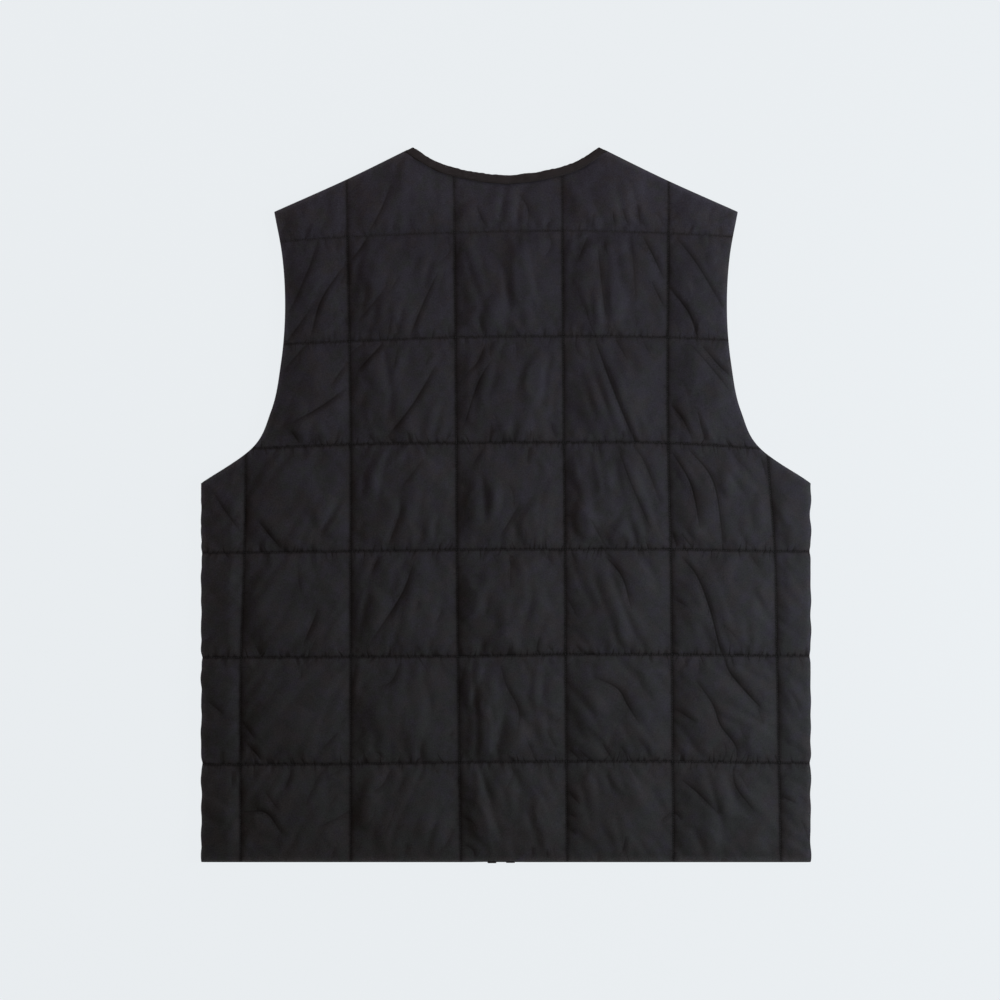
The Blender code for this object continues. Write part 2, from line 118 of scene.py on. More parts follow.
floor_bm = bmesh.new()
bmesh.ops.create_grid(floor_bm, x_segments=1, y_segments=1, size=6.0)
floor_mesh = bpy.data.meshes.new("floor")
floor_bm.to_mesh(floor_mesh)
floor_bm.free()
floor = bpy.data.objects.new("floor", floor_mesh)
floor.data.transform(Matrix.Translation((0, 0, -0.2 * MM)))
bpy.context.scene.collection.objects.link(floor)
paper = bpy.data.materials.new("pale_paper")
paper.use_nodes = True
paper_shader = paper.node_tree.nodes["Principled BSDF"]
paper_shader.inputs["Base Color"].default_value = (0.035, 0.0359, 0.0368, 1)
paper_shader.inputs["Roughness"].default_value = 0.9
paper_shader.inputs["Specular IOR Level"].default_value = 0.1
paper_shader.inputs["Emission Color"].default_value = (0.935, 0.972, 1.0, 1)
paper_shader.inputs["Emission Strength"].default_value = 0.857
floor.data.materials.append(paper)

# %% [markdown]
# ## Finishes
# The shell is a thin black nylon: a fine plain weave, matte, whose black wanders between violet,
# green and brown. Its finish also paints shade into furrows, creases and beside a binding, and
# paints light at free edges and towards the neck. The binding tape is ribbed, browner and darker,
# with a painted highlight on its rounded edge. Thread is a black twisted yarn, painted lighter near
# the neck.
# Effects that several finishes share are node groups: `tone` makes patches of any size a little
# lighter and darker, and `weave` raises the crossing yarns.

# %% Shader groups
def new_group(name, inputs, outputs):
    group = bpy.data.node_groups.new(name, "ShaderNodeTree")
    for socket, default in inputs.items():
        made = group.interface.new_socket(socket, in_out="INPUT", socket_type="NodeSocketFloat")
        made.default_value = default
    for socket in outputs:
        group.interface.new_socket(socket, in_out="OUTPUT", socket_type="NodeSocketFloat")
    return group, group.nodes.new("NodeGroupInput"), group.nodes.new("NodeGroupOutput")


def math_node(tree, operation, a, b=None, c=None):
    """A Math node. Each input is a socket or a number, and its output socket is returned."""
    node = tree.nodes.new("ShaderNodeMath")
    node.operation = operation
    for place, value in enumerate((a, b, c)):
        if value is None:
            continue
        if isinstance(value, (int, float)):
            node.inputs[place].default_value = value
        else:
            tree.links.new(value, node.inputs[place])
    return node.outputs[0]


def object_place(tree):
    return tree.nodes.new("ShaderNodeTexCoord").outputs["Object"]


def noise(tree, place, scale, detail, roughness=0.5):
    node = tree.nodes.new("ShaderNodeTexNoise")
    node.inputs["Detail"].default_value = detail
    node.inputs["Roughness"].default_value = roughness
    tree.links.new(place, node.inputs["Vector"])
    if isinstance(scale, (int, float)):
        node.inputs["Scale"].default_value = scale
    else:
        tree.links.new(scale, node.inputs["Scale"])
    return node.outputs["Fac"]


def tone_group():
    """Factor around 1 that changes slowly over the cloth. Patch Size is in metres."""
    group, given, result = new_group("tone", {"Patch Size": 0.05, "Amount": 0.1}, ("Factor",))
    scale = math_node(group, "DIVIDE", 1.0, given.outputs["Patch Size"])
    spread = noise(group, object_place(group), scale, 3.0)
    centred = math_node(group, "SUBTRACT", spread, 0.5)
    swing = math_node(group, "MULTIPLY", centred, given.outputs["Amount"])
    factor = math_node(group, "MULTIPLY_ADD", swing, 2.0, 1.0)
    group.links.new(factor, result.inputs["Factor"])
    return group


def weave_group():
    """Height from 0 to 1 of a plain weave whose yarns lie Pitch metres apart."""
    group, given, result = new_group("weave", {"Pitch": 0.0003}, ("Height",))
    split = group.nodes.new("ShaderNodeSeparateXYZ")
    group.links.new(object_place(group), split.inputs[0])
    turns = math_node(group, "DIVIDE", math.pi, given.outputs["Pitch"])
    warp = math_node(group, "SINE", math_node(group, "MULTIPLY", split.outputs["X"], turns))
    weft = math_node(group, "SINE", math_node(group, "MULTIPLY", split.outputs["Y"], turns))
    crossing = math_node(group, "MULTIPLY", warp, weft)
    group.links.new(math_node(group, "MULTIPLY_ADD", crossing, 0.5, 0.5), result.inputs["Height"])
    return group


TONE = tone_group()
WEAVE = weave_group()
print("shader groups:", TONE.name, WEAVE.name)

# %% Material helpers
def group_node(tree, group, **values):
    node = tree.nodes.new("ShaderNodeGroup")
    node.node_tree = group
    for name, value in values.items():
        node.inputs[name.replace("_", " ")].default_value = value
    return node


def between_colours(tree, share, first, second):
    """From the first colour, which may be a socket, to the second while the share goes to 1."""
    mix = tree.nodes.new("ShaderNodeMix")
    mix.data_type = "RGBA"
    if isinstance(first, tuple):
        mix.inputs[6].default_value = (*first, 1)
    else:
        tree.links.new(first, mix.inputs[6])
    mix.inputs[7].default_value = (*second, 1)
    tree.links.new(share, mix.inputs["Factor"])
    return mix.outputs[2]


def tinted(tree, factor, colour):
    """The colour, or the colour of a socket, multiplied by a changing factor."""
    mix = tree.nodes.new("ShaderNodeMix")
    mix.data_type = "RGBA"
    mix.blend_type = "MULTIPLY"
    mix.inputs["Factor"].default_value = 1.0
    if isinstance(colour, tuple):
        mix.inputs[6].default_value = (*colour, 1)
    else:
        tree.links.new(colour, mix.inputs[6])
    grey = tree.nodes.new("ShaderNodeCombineColor")
    for channel in ("Red", "Green", "Blue"):
        tree.links.new(factor, grey.inputs[channel])
    tree.links.new(grey.outputs[0], mix.inputs[7])
    return mix.outputs[2]


def bump(tree, height, distance, strength=1.0, below=None):
    node = tree.nodes.new("ShaderNodeBump")
    node.inputs["Distance"].default_value = distance
    node.inputs["Strength"].default_value = strength
    tree.links.new(height, node.inputs["Height"])
    if below is not None:
        tree.links.new(below, node.inputs["Normal"])
    return node.outputs["Normal"]


def new_material(name, roughness, specular=0.5, metallic=0.0):
    material = bpy.data.materials.new(name)
    material.use_nodes = True
    shader = material.node_tree.nodes["Principled BSDF"]
    shader.inputs["Roughness"].default_value = roughness
    shader.inputs["Specular IOR Level"].default_value = specular
    shader.inputs["Metallic"].default_value = metallic
    return material, material.node_tree, shader


# %% [markdown]
# Along a line of stitches the cloth is pulled into the thread, so a narrow furrow with a little
# shade runs there, and crisp gathers run away from it. They are finer than the mesh, so the finish
# makes them. It reads where it is in the quilting from the panel's own UV map, named `quilt`:
# U counts squares across and V counts them along, so whole numbers are lines of stitches. The
# creases are in the mesh, but a sharp crease needs a sharp line: two attributes say how far each
# point is from the nearest crease and how sharp that one is.

# %% Marks of the quilting
SQUARE_MM = 101.0
# near the neck the painted shade along the lines falls to these shares, and for level lines their
# gathers too
LEVEL_SHADE_AND_GATHERS_NEAR_NECK = 0.42
UPRIGHT_SHADE_NEAR_NECK = 0.6


def away_from_line(tree, coordinate):
    """Signed distance in mm from the nearest whole number of a UV coordinate that counts squares,
    its size, and that number."""
    nearest = math_node(tree, "ROUND", coordinate)
    offset = math_node(tree, "SUBTRACT", coordinate, nearest)
    signed = math_node(tree, "MULTIPLY", offset, SQUARE_MM)
    return signed, math_node(tree, "ABSOLUTE", signed), nearest


def fading(tree, distance, reach):
    """1 at distance 0, falling to nothing over the reach."""
    share = math_node(tree, "DIVIDE", distance, reach)
    square = math_node(tree, "MULTIPLY", share, share)
    return math_node(tree, "EXPONENT", math_node(tree, "MULTIPLY", square, -1.0))


def stepped(tree, value, low, high, at_low=0.0, at_high=1.0):
    """A smooth step from one number to another while the value goes from low to high."""
    node = tree.nodes.new("ShaderNodeMapRange")
    node.interpolation_type = "SMOOTHSTEP"
    tree.links.new(value, node.inputs["Value"])
    node.inputs["From Min"].default_value = low
    node.inputs["From Max"].default_value = high
    node.inputs["To Min"].default_value = at_low
    node.inputs["To Max"].default_value = at_high
    return node.outputs["Result"]


def noise_along(tree, along, line, scale, detail=1.0):
    """Noise that changes along a line of stitches and is another one on every line."""
    place = tree.nodes.new("ShaderNodeCombineXYZ")
    tree.links.new(math_node(tree, "MULTIPLY", along, SQUARE_MM / scale), place.inputs["X"])
    tree.links.new(line, place.inputs["Y"])
    return noise(tree, place.outputs[0], 1.0, detail, 0.45)


def gathers(tree, along, line, signed, away, reach):
    """1 in the crisp short grooves that leave a line of stitches, 0 between them."""
    side = stepped(tree, signed, -0.2, 0.2, 0.0, 4.3)
    which = math_node(tree, "ADD", math_node(tree, "MULTIPLY", line, 9.7), side)
    lean = math_node(tree, "SUBTRACT", noise_along(tree, along, which, 16.0), 0.5)
    shift = math_node(tree, "MULTIPLY", math_node(tree, "MULTIPLY", lean, away), 3.2 / SQUARE_MM)
    ripple = noise_along(tree, math_node(tree, "ADD", along, shift), which, 6.2, 0.0)
    from_middle = math_node(tree, "ABSOLUTE", math_node(tree, "SUBTRACT", ripple, 0.5))
    groove = stepped(tree, from_middle, 0.0, 0.12, 1.0, 0.0)
    long = stepped(tree, noise_along(tree, along, which, 8.0), 0.40, 0.72, 0.16, 1.0)
    faded = fading(tree, away, math_node(tree, "MULTIPLY", long, reach))
    return math_node(tree, "MULTIPLY", groove, faded)


def quilting_group():
    """Shade (1 is unshaded) and Height in mm of all that lies along the lines of stitches. The shade
    is painted shade. Near the neck, where the level lines are the fifth and sixth from the hem, the
    painted shade of the lines is weaker and the gathers of the level lines are shallower."""
    group, given, result = new_group("quilting", {"Across": 0.5, "Along": 0.5}, ("Shade", "Height"))
    from_upright, beside, upright = away_from_line(group, given.outputs["Across"])
    from_level, above, level = away_from_line(group, given.outputs["Along"])
    on_level = gathers(group, given.outputs["Across"], level, from_level, above, 9.0)
    on_level = math_node(group, "MULTIPLY", on_level, stepped(group, from_level, -1.5, 1.5, 0.72, 1.0))
    # the painted shade of the lines is weaker near the neck, and so are the level lines' gathers
    level_shade_and_gathers = stepped(group, level, 3.0, 5.0, 1.0, LEVEL_SHADE_AND_GATHERS_NEAR_NECK)
    upright_shade_scale = stepped(group, given.outputs["Along"], 4.95, 5.1, 1.0, UPRIGHT_SHADE_NEAR_NECK)
    on_level = math_node(group, "MULTIPLY", on_level, level_shade_and_gathers)
    on_upright = gathers(group, given.outputs["Along"], upright, from_upright, beside, 5.5)
    grooves = math_node(group, "MAXIMUM", on_level, math_node(group, "MULTIPLY", on_upright, 0.35))
    shade = math_node(group, "MULTIPLY_ADD", grooves, -0.66, 1.0)
    for signed, away, shade_scale, deep, wide, side_deep, side_wide in (
        # the shade is deep and wide in the line itself, and side_deep and side_wide beside it
        (from_upright, beside, upright_shade_scale, 0.5, 1.25, 0.36, (2.6, 3.4)),
        (from_level, above, level_shade_and_gathers, 0.5, 1.25, 0.14, (2.4, 2.6)),
    ):
        depth = math_node(group, "MULTIPLY_ADD", shade_scale, 0.65 * deep, 0.35 * deep)
        width = math_node(group, "MULTIPLY_ADD", shade_scale, 0.6 * wide, 0.4 * wide)
        line = math_node(group, "MULTIPLY", fading(group, away, width), depth)
        core = math_node(group, "SUBTRACT", 1.0, line)
        reach = stepped(group, signed, -0.3, 0.3, *side_wide)
        wall = math_node(group, "MULTIPLY", fading(group, away, reach), shade_scale)
        flank = math_node(group, "MULTIPLY_ADD", wall, -side_deep, 1.0)
        shade = math_node(group, "MULTIPLY", shade, math_node(group, "MULTIPLY", core, flank))
    group.links.new(shade, result.inputs["Shade"])
    furrow = fading(group, math_node(group, "MINIMUM", beside, above), 1.2)
    height = math_node(group, "MULTIPLY", grooves, -0.24)
    group.links.new(math_node(group, "MULTIPLY_ADD", furrow, -0.1, height), result.inputs["Height"])
    return group


def fold_group():
    """Shade and Height in mm of a sharp crease, from the distance to it and its sharpness."""
    group, given, result = new_group("fold", {"Distance": 9.0, "Sharpness": 0.0}, ("Shade", "Height"))
    distance, sharp = given.outputs["Distance"], given.outputs["Sharpness"]
    line = math_node(group, "MULTIPLY", fading(group, distance, 0.95), sharp)
    beside = math_node(group, "SUBTRACT", distance, 1.9)
    wall = math_node(group, "MULTIPLY", fading(group, beside, 2.6), sharp)
    shade = math_node(group, "MULTIPLY_ADD", line, -0.32, 1.0)
    group.links.new(math_node(group, "MULTIPLY_ADD", wall, -0.22, shade), result.inputs["Shade"])
    group.links.new(math_node(group, "MULTIPLY", line, -0.16), result.inputs["Height"])
    return group


QUILTING = quilting_group()
FOLD = fold_group()

# %% Nylon
def attribute(tree, name):
    node = tree.nodes.new("ShaderNodeAttribute")
    node.attribute_name = name
    return node.outputs["Fac"]


VIOLET_BLACK = (0.0350, 0.0310, 0.0415)
GREEN_BLACK = (0.0307, 0.0310, 0.0314)
BROWN_BLACK = (0.0380, 0.0310, 0.0330)


def wandering_black(tree, place, towards_neck, painted_shade_depth):
    """Violet patches among green ones, and brown ones as well. Towards the neck the black is painted
    more violet and less brown, as painted light. Where furrows and creases have painted shade, it is
    painted browner too, as warm shade."""
    hue = noise(tree, place, 72.0, 5.0, 0.75)
    # painted light: towards the neck the black is painted more violet, and below it less brown
    hue = math_node(tree, "MULTIPLY_ADD", towards_neck, -0.24, hue)
    hue = stepped(tree, hue, 0.36, 0.64)
    colour = between_colours(tree, hue, VIOLET_BLACK, GREEN_BLACK)
    patches = noise(tree, place, 48.0, 5.0, 0.75)
    patches = math_node(tree, "MULTIPLY_ADD", towards_neck, -0.06, patches)
    patches = stepped(tree, patches, 0.45, 0.64, 0.0, 0.62)
    brown = math_node(tree, "MULTIPLY_ADD", painted_shade_depth, 1.2, patches)
    return between_colours(tree, brown, colour, BROWN_BLACK)


def nylon():
    material, tree, shader = new_material("shell_nylon", 0.8, 0.2)
    uv = tree.nodes.new("ShaderNodeUVMap")
    uv.uv_map = "quilt"
    split = tree.nodes.new("ShaderNodeSeparateXYZ")
    tree.links.new(uv.outputs[0], split.inputs[0])
    quilting = group_node(tree, QUILTING)
    tree.links.new(split.outputs["X"], quilting.inputs["Across"])
    tree.links.new(split.outputs["Y"], quilting.inputs["Along"])
    fold = group_node(tree, FOLD)
    tree.links.new(attribute(tree, "fold_distance"), fold.inputs["Distance"])
    tree.links.new(attribute(tree, "fold_sharpness"), fold.inputs["Sharpness"])
    tone = group_node(tree, TONE, Patch_Size=0.06, Amount=0.16).outputs["Factor"]
    mottle = group_node(tree, TONE, Patch_Size=0.009, Amount=0.14).outputs["Factor"]
    grain = group_node(tree, TONE, Patch_Size=0.0011, Amount=0.62).outputs["Factor"]
    shade = math_node(tree, "MULTIPLY", quilting.outputs["Shade"], fold.outputs["Shade"])
    # how deep the painted shade of furrows and creases is; there the black is painted browner too
    painted_shade_depth = math_node(tree, "SUBTRACT", 1.0, shade)
    place = object_place(tree)
    split_place = tree.nodes.new("ShaderNodeSeparateXYZ")
    tree.links.new(place, split_place.inputs[0])
    towards_neck = split_place.outputs["Y"]
    # the rim mark is painted light: a painted reflection of the floor at free edges, painted shade
    # beside a binding
    rim = math_node(tree, "MULTIPLY_ADD", attribute(tree, "rim"), 0.6, 1.0)
    # painted light: towards the neck the cloth is painted up to a fifth lighter, for the upper rows
    # that take more light
    painted_light = stepped(tree, towards_neck, 0.235, 0.30, 1.0, 1.2)
    for factor in (tone, mottle, grain, rim, painted_light):
        shade = math_node(tree, "MULTIPLY", shade, factor)
    colour = wandering_black(tree, place, towards_neck, painted_shade_depth)
    tree.links.new(tinted(tree, shade, colour), shader.inputs["Base Color"])
    fine = group_node(tree, TONE, Patch_Size=0.012, Amount=0.12).outputs["Factor"]
    tree.links.new(math_node(tree, "MULTIPLY", fine, 0.8), shader.inputs["Roughness"])
    relief = math_node(tree, "ADD", quilting.outputs["Height"], fold.outputs["Height"])
    weave = group_node(tree, WEAVE, Pitch=0.00032).outputs["Height"]
    below = bump(tree, relief, MM)
    tree.links.new(bump(tree, weave, 0.02 * MM, 0.6, below), shader.inputs["Normal"])
    return material


NYLON = nylon()

# %% Tape, thread and metal
def tape_cloth():
    """Ribs run across the tape. Its UV map `tape` counts mm along and across."""
    material, tree, shader = new_material("binding_tape", 0.86, 0.3)
    uv = tree.nodes.new("ShaderNodeUVMap")
    uv.uv_map = "tape"
    split = tree.nodes.new("ShaderNodeSeparateXYZ")
    tree.links.new(uv.outputs[0], split.inputs[0])
    rib_turn = math_node(tree, "MULTIPLY", split.outputs["X"], 2 * math.pi / 0.9)
    purl_turn = math_node(tree, "MULTIPLY", split.outputs["Y"], 2 * math.pi / 0.7)
    rib = math_node(tree, "SINE", rib_turn)
    purl = math_node(tree, "SINE", purl_turn)
    half_rib = math_node(tree, "MULTIPLY", rib, 0.5)
    grain = math_node(tree, "MULTIPLY_ADD", math_node(tree, "MULTIPLY", rib, purl), 0.3, half_rib)
    tone = group_node(tree, TONE, Patch_Size=0.008, Amount=0.3).outputs["Factor"]
    lit = math_node(tree, "MULTIPLY", tone, math_node(tree, "MULTIPLY_ADD", grain, 0.18, 1.0))
    # painted highlight: the tape's rounded outer edge is painted up to 60 % lighter, as if lit more
    painted_light = math_node(tree, "MULTIPLY_ADD", fading(tree, split.outputs["Y"], 3.4), 0.6, 1.0)
    lit = math_node(tree, "MULTIPLY", lit, painted_light)
    tree.links.new(tinted(tree, lit, (0.0320, 0.0249, 0.0252)), shader.inputs["Base Color"])
    tree.links.new(bump(tree, grain, 0.15 * MM), shader.inputs["Normal"])
    return material


def thread():
    """Twisted yarn, painted lighter near the neck: painted light that lessens the shade of the seams
    there.
    """
    material, tree, shader = new_material("black_thread", 0.6, 0.4)
    tone = group_node(tree, TONE, Patch_Size=0.003, Amount=0.5).outputs["Factor"]
    split = tree.nodes.new("ShaderNodeSeparateXYZ")
    tree.links.new(object_place(tree), split.inputs[0])
    # painted light: the thread near the neck is painted lighter, for the lesser shade of the seams
    # there
    painted_light = stepped(tree, split.outputs["Y"], 0.08, 0.25, 1.0, 1.35)
    lit = math_node(tree, "MULTIPLY", tone, painted_light)
    tree.links.new(tinted(tree, lit, (0.0118, 0.0098, 0.0112)), shader.inputs["Base Color"])
    return material


def stud_metal():
    """Dark plated metal, rubbed a little brighter in patches."""
    material, tree, shader = new_material("stud_metal", 0.38, 0.5, 0.7)
    tone = group_node(tree, TONE, Patch_Size=0.004, Amount=0.35).outputs["Factor"]
    tree.links.new(tinted(tree, tone, (0.030, 0.030, 0.032)), shader.inputs["Base Color"])
    tree.links.new(math_node(tree, "MULTIPLY", tone, 0.36), shader.inputs["Roughness"])
    return material


TAPE = tape_cloth()
THREAD = thread()
METAL = stud_metal()
print("finishes:", [m.name for m in bpy.data.materials if m.users])

# %% [markdown]
# ## The cut and the quilting lines
# A pattern maker draws a panel flat: straight side and hem, an armhole, a slightly hollow shoulder
# and a neckline. The quilting lines are sewn by hand along chalk, so they wander by a few
# millimetres. Each line is a smooth curve through a few measured places. All sizes here are in
# millimetres, and a piece is scaled to metres when it is finished.

# %% Sizes of the cut
HALF_CHEST = BACK_HIGH[0] / MM
HEM_Y = BACK_LOW[1] / MM
UNDERARM_Y = 20.0
ARMHOLE_Y = (20.0, 54.0, 88.0, 133.5, 196.0, 236.0, 277.5)
ARMHOLE_X = (HALF_CHEST, 240.0, 222.8, 213.3, 209.3, 212.0, 219.5)
SHOULDER_X = (88.0, 146.0, 219.5)
SHOULDER_Y = (339.0, 310.5, 277.5)
NECK_X = (0.0, 31.0, 69.4, 88.0)
NECK_Y = (312.5, 316.0, 327.3, 339.0)
FRONT_NECK_DROP = 95.0
FRONT_ARMHOLE_IN = 12.0
TAPE_WIDTH = 8.5
TUCKED = 4.5  # a panel's raw edge lies this far inside its binding's outer edge

UPRIGHT_AT_Y = (-338.0, -145.0, -45.0, 52.0, 300.0)
UPRIGHT_X = (
    (-251.8, -251.3, -248.0, -246.5, -243.0),
    (-147.3, -147.3, -147.3, -147.3, -151.3),
    (-42.8, -45.6, -46.5, -47.0, -49.3),
    (58.0, 56.5, 56.0, 55.1, 53.3),
    (159.1, 157.4, 156.3, 153.9, 154.2),
    (260.8, 257.0, 255.0, 248.0, 247.0),
)
LEVEL_AT_X = (-250.0, -147.0, -47.0, 56.0, 157.0, 250.0)
LEVEL_Y = (
    (-246.7, -246.1, -244.6, -243.7, -243.7, -245.0),
    (-145.2, -144.6, -144.2, -142.6, -142.6, -143.7),
    (-45.8, -44.4, -43.0, -42.5, -42.5, -44.5),
    (52.7, 57.0, 58.4, 59.1, 58.4, 52.7),
    (150.0, 154.8, 158.4, 159.5, 158.4, 154.0),
    (246.5, 254.1, 257.9, 259.8, 257.2, 252.0),
)


def smooth_line(at, values, where):
    """The value at each place, on a smooth curve through the given ones."""
    at, values = np.asarray(at, float), np.asarray(values, float)
    slopes = np.gradient(values, at)
    where = np.clip(where, at[0], at[-1])
    i = np.clip(np.searchsorted(at, where) - 1, 0, len(at) - 2)
    width = at[i + 1] - at[i]
    t = (where - at[i]) / width
    start = (1 + 2 * t) * (1 - t) ** 2 * values[i] + t * (1 - t) ** 2 * width * slopes[i]
    return start + t * t * (3 - 2 * t) * values[i + 1] + t * t * (t - 1) * width * slopes[i + 1]


def upright_x(number, y):
    return smooth_line(UPRIGHT_AT_Y, UPRIGHT_X[number], y)


def level_y(number, x):
    return smooth_line(LEVEL_AT_X, LEVEL_Y[number], x)


def armhole_x(y, cut_in=0.0):
    share = np.clip((np.asarray(y, float) - ARMHOLE_Y[0]) / (ARMHOLE_Y[-1] - ARMHOLE_Y[0]), 0, 1)
    return smooth_line(ARMHOLE_Y, ARMHOLE_X, y) - cut_in * np.sin(math.pi * share)


def shoulder_y(x):
    beyond = np.clip(SHOULDER_X[0] - np.abs(x), 0, None)
    slope = (SHOULDER_Y[0] - SHOULDER_Y[1]) / (SHOULDER_X[1] - SHOULDER_X[0])
    return smooth_line(SHOULDER_X, SHOULDER_Y, np.abs(x)) + beyond * slope


def back_neck_y(x):
    beyond = np.clip(np.abs(x) - NECK_X[-1], 0, None)
    return smooth_line(NECK_X, NECK_Y, np.abs(x)) + beyond * 0.7


def front_neck_y(x):
    share = np.clip(1 - (np.asarray(x, float) / NECK_X[-1]) ** 2, 0, 1)
    return NECK_Y[-1] - FRONT_NECK_DROP * np.sqrt(share)


def moved_down(line, x, inset):
    """A line in plan moved inward, measured at right angles to it."""
    slope = (line(x + 0.5) - line(x - 0.5)) / 1.0
    return line(x) - inset * np.sqrt(1 + slope**2)


# %% [markdown]
# ## A panel as a grid of squares
# The cloth of a panel is modelled as a grid whose columns and rows follow the quilting, so each
# line of stitches is an edge loop and stays sharp. Where the outline cuts a corner off, under an
# arm or beside the neck, that corner of the grid is deleted and the last row bends along the
# outline. A `Cut` holds those lines and turns a grid point's numbers into its place in plan.

# %% Cut of a panel
NOTCH_SHARE = 11 / 12  # of the row in which a corner is cut off, where the cut begins
CORNER_Y = (25.0, 120.0)  # the outermost quilting lines meet the armhole between these


def crossing(line, other, low, high):
    """Where two lines meet between low and high."""
    at = np.linspace(low, high, 400)
    gap = line(at) - other(at)
    return float(np.interp(0.0, gap * np.sign(gap[-1]), at))


class Notch:
    """A corner that the outline cuts off: its column and row of squares, where the cut meets the
    column's inner line, and the outline there."""

    def __init__(self, column, row, corner, edge):
        self.column, self.row, self.corner, self.edge = column, row, corner, edge


class Cut:
    def __init__(self, columns, rows, column_cells, row_cells, notches):
        self.columns, self.rows, self.notches = columns, rows, notches
        self.column_starts = np.concatenate([[0], np.cumsum(column_cells)])
        self.row_starts = np.concatenate([[0], np.cumsum(row_cells)])

    def notch_row(self, notch):
        start, end = self.row_starts[notch.row : notch.row + 2]
        return round(start + NOTCH_SHARE * (end - start))

    def is_cut_off(self, i, j):
        gone = np.zeros(np.shape(i), bool)
        for notch in self.notches:
            outside = i < self.column_starts[1] if notch.column == 0 else i > self.column_starts[-2]
            gone |= outside & (j > self.notch_row(notch))
        return gone

    def row_share(self, row, share, x):
        """Share of the way up a row of squares, so that a notch's corner falls on a grid point."""
        corners = sorted(n.corner for n in self.notches if n.row == row)
        if not corners:
            return share
        low = [float(self.rows[row](np.array([c[0]]))[0]) for c in corners]
        high = [float(self.rows[row + 1](np.array([c[0]]))[0]) for c in corners]
        reached = [(c[1] - a) / (b - a) for c, a, b in zip(corners, low, high)]
        here = np.interp(x, [c[0] for c in corners], reached)
        below = share / NOTCH_SHARE * here
        above = here + (share - NOTCH_SHARE) / (1 - NOTCH_SHARE) * (1 - here)
        return np.where(share <= NOTCH_SHARE, below, above)

    def place(self, i, j):
        """x and y in mm of grid points i, j."""
        column = np.searchsorted(self.column_starts, i, "right") - 1
        column = np.clip(column, 0, len(self.columns) - 2)
        row = np.clip(np.searchsorted(self.row_starts, j, "right") - 1, 0, len(self.rows) - 2)
        across = (i - self.column_starts[column]) / np.diff(self.column_starts)[column]
        up = (j - self.row_starts[row]) / np.diff(self.row_starts)[row]
        y = np.zeros(len(i))
        for _ in range(7):
            lines = np.array([line(y) for line in self.columns])
            point = np.arange(len(i))
            left, right = lines[column, point], lines[column + 1, point]
            x = left + across * (right - left)
            levels = np.array([line(x) for line in self.rows])
            low, high = levels[row, point], levels[row + 1, point]
            share = up.copy()
            for number in {n.row for n in self.notches}:
                share = np.where(row == number, self.row_share(number, up, x), share)
            y = low + share * (high - low)
            for notch in self.notches:
                here = (column == notch.column) & (row == notch.row)
                if notch.column:
                    here &= i > self.column_starts[-2]
                else:
                    here &= i < self.column_starts[1]
                y = np.where(here, low + up / NOTCH_SHARE * (notch.edge(x) - low), y)
        return x, y

    def grid(self, divide=1):
        """A flat bmesh of the panel in mm and the numbers and places of its points. It has every
        divide-th line of the full grid."""
        columns, rows = self.column_starts[-1] // divide, self.row_starts[-1] // divide
        bm = bmesh.new()
        bmesh.ops.create_grid(bm, x_segments=int(columns), y_segments=int(rows), size=0.5)
        i = np.array([round((v.co.x + 0.5) * columns) * divide for v in bm.verts])
        j = np.array([round((v.co.y + 0.5) * rows) * divide for v in bm.verts])
        gone = self.is_cut_off(i, j)
        bmesh.ops.delete(bm, geom=[v for v, off in zip(bm.verts, gone) if off], context="VERTS")
        i, j = i[~gone], j[~gone]
        x, y = self.place(i, j)
        x = x + side_wander(x, y)
        for vert, a, b in zip(bm.verts, x, y):
            vert.co = (a, b, 0.0)
        return bm, i, j, x, y


# %% Cuts of the back and the fronts
CELLS = 48  # across and up one square of the back
NECK_REACH = 96  # the back's upper edge is its neckline up to here, then its shoulder


def back_top(x):
    inside = moved_down(back_neck_y, np.clip(x, -NECK_REACH, NECK_REACH), TUCKED)
    return np.minimum(shoulder_y(x), np.where(np.abs(x) < NECK_REACH, inside, 1e3))


def side_corner(line, side, cut_in=0.0):
    """Where an upright quilting line meets the armhole."""
    y = crossing(lambda at: side * line(at), lambda at: armhole_x(at, cut_in), *CORNER_Y)
    return float(line(np.array([y]))[0]), y


def armhole_y(x, cut_in=0.0):
    at = np.linspace(UNDERARM_Y, 130.0, 300)
    return np.interp(-np.abs(x), -armhole_x(at, cut_in), at)


def uprights(numbers):
    return [lambda y, n=n: upright_x(n, y) for n in numbers]


def levels():
    return [lambda x, n=n: level_y(n, x) for n in range(len(LEVEL_Y))]


def back_cut():
    lines = uprights(range(6))
    left, right = side_corner(lines[0], -1), side_corner(lines[5], 1)
    columns = [
        lambda y: np.full(np.shape(y), -HALF_CHEST),
        lambda y: np.where(y < left[1], lines[0](y), -armhole_x(y)),
        *lines[1:5],
        lambda y: np.where(y < right[1], lines[5](y), armhole_x(y)),
        lambda y: np.full(np.shape(y), HALF_CHEST),
    ]
    rows = [lambda x: np.full(np.shape(x), HEM_Y), *levels(), back_top]
    notches = [Notch(0, 3, left, armhole_y), Notch(6, 3, right, armhole_y)]
    return Cut(columns, rows, (20, *[CELLS] * 5, 16), (44, *[CELLS] * 5, 36), notches)


BACK = back_cut()
print("back grid:", BACK.column_starts[-1], "x", BACK.row_starts[-1], "cells")
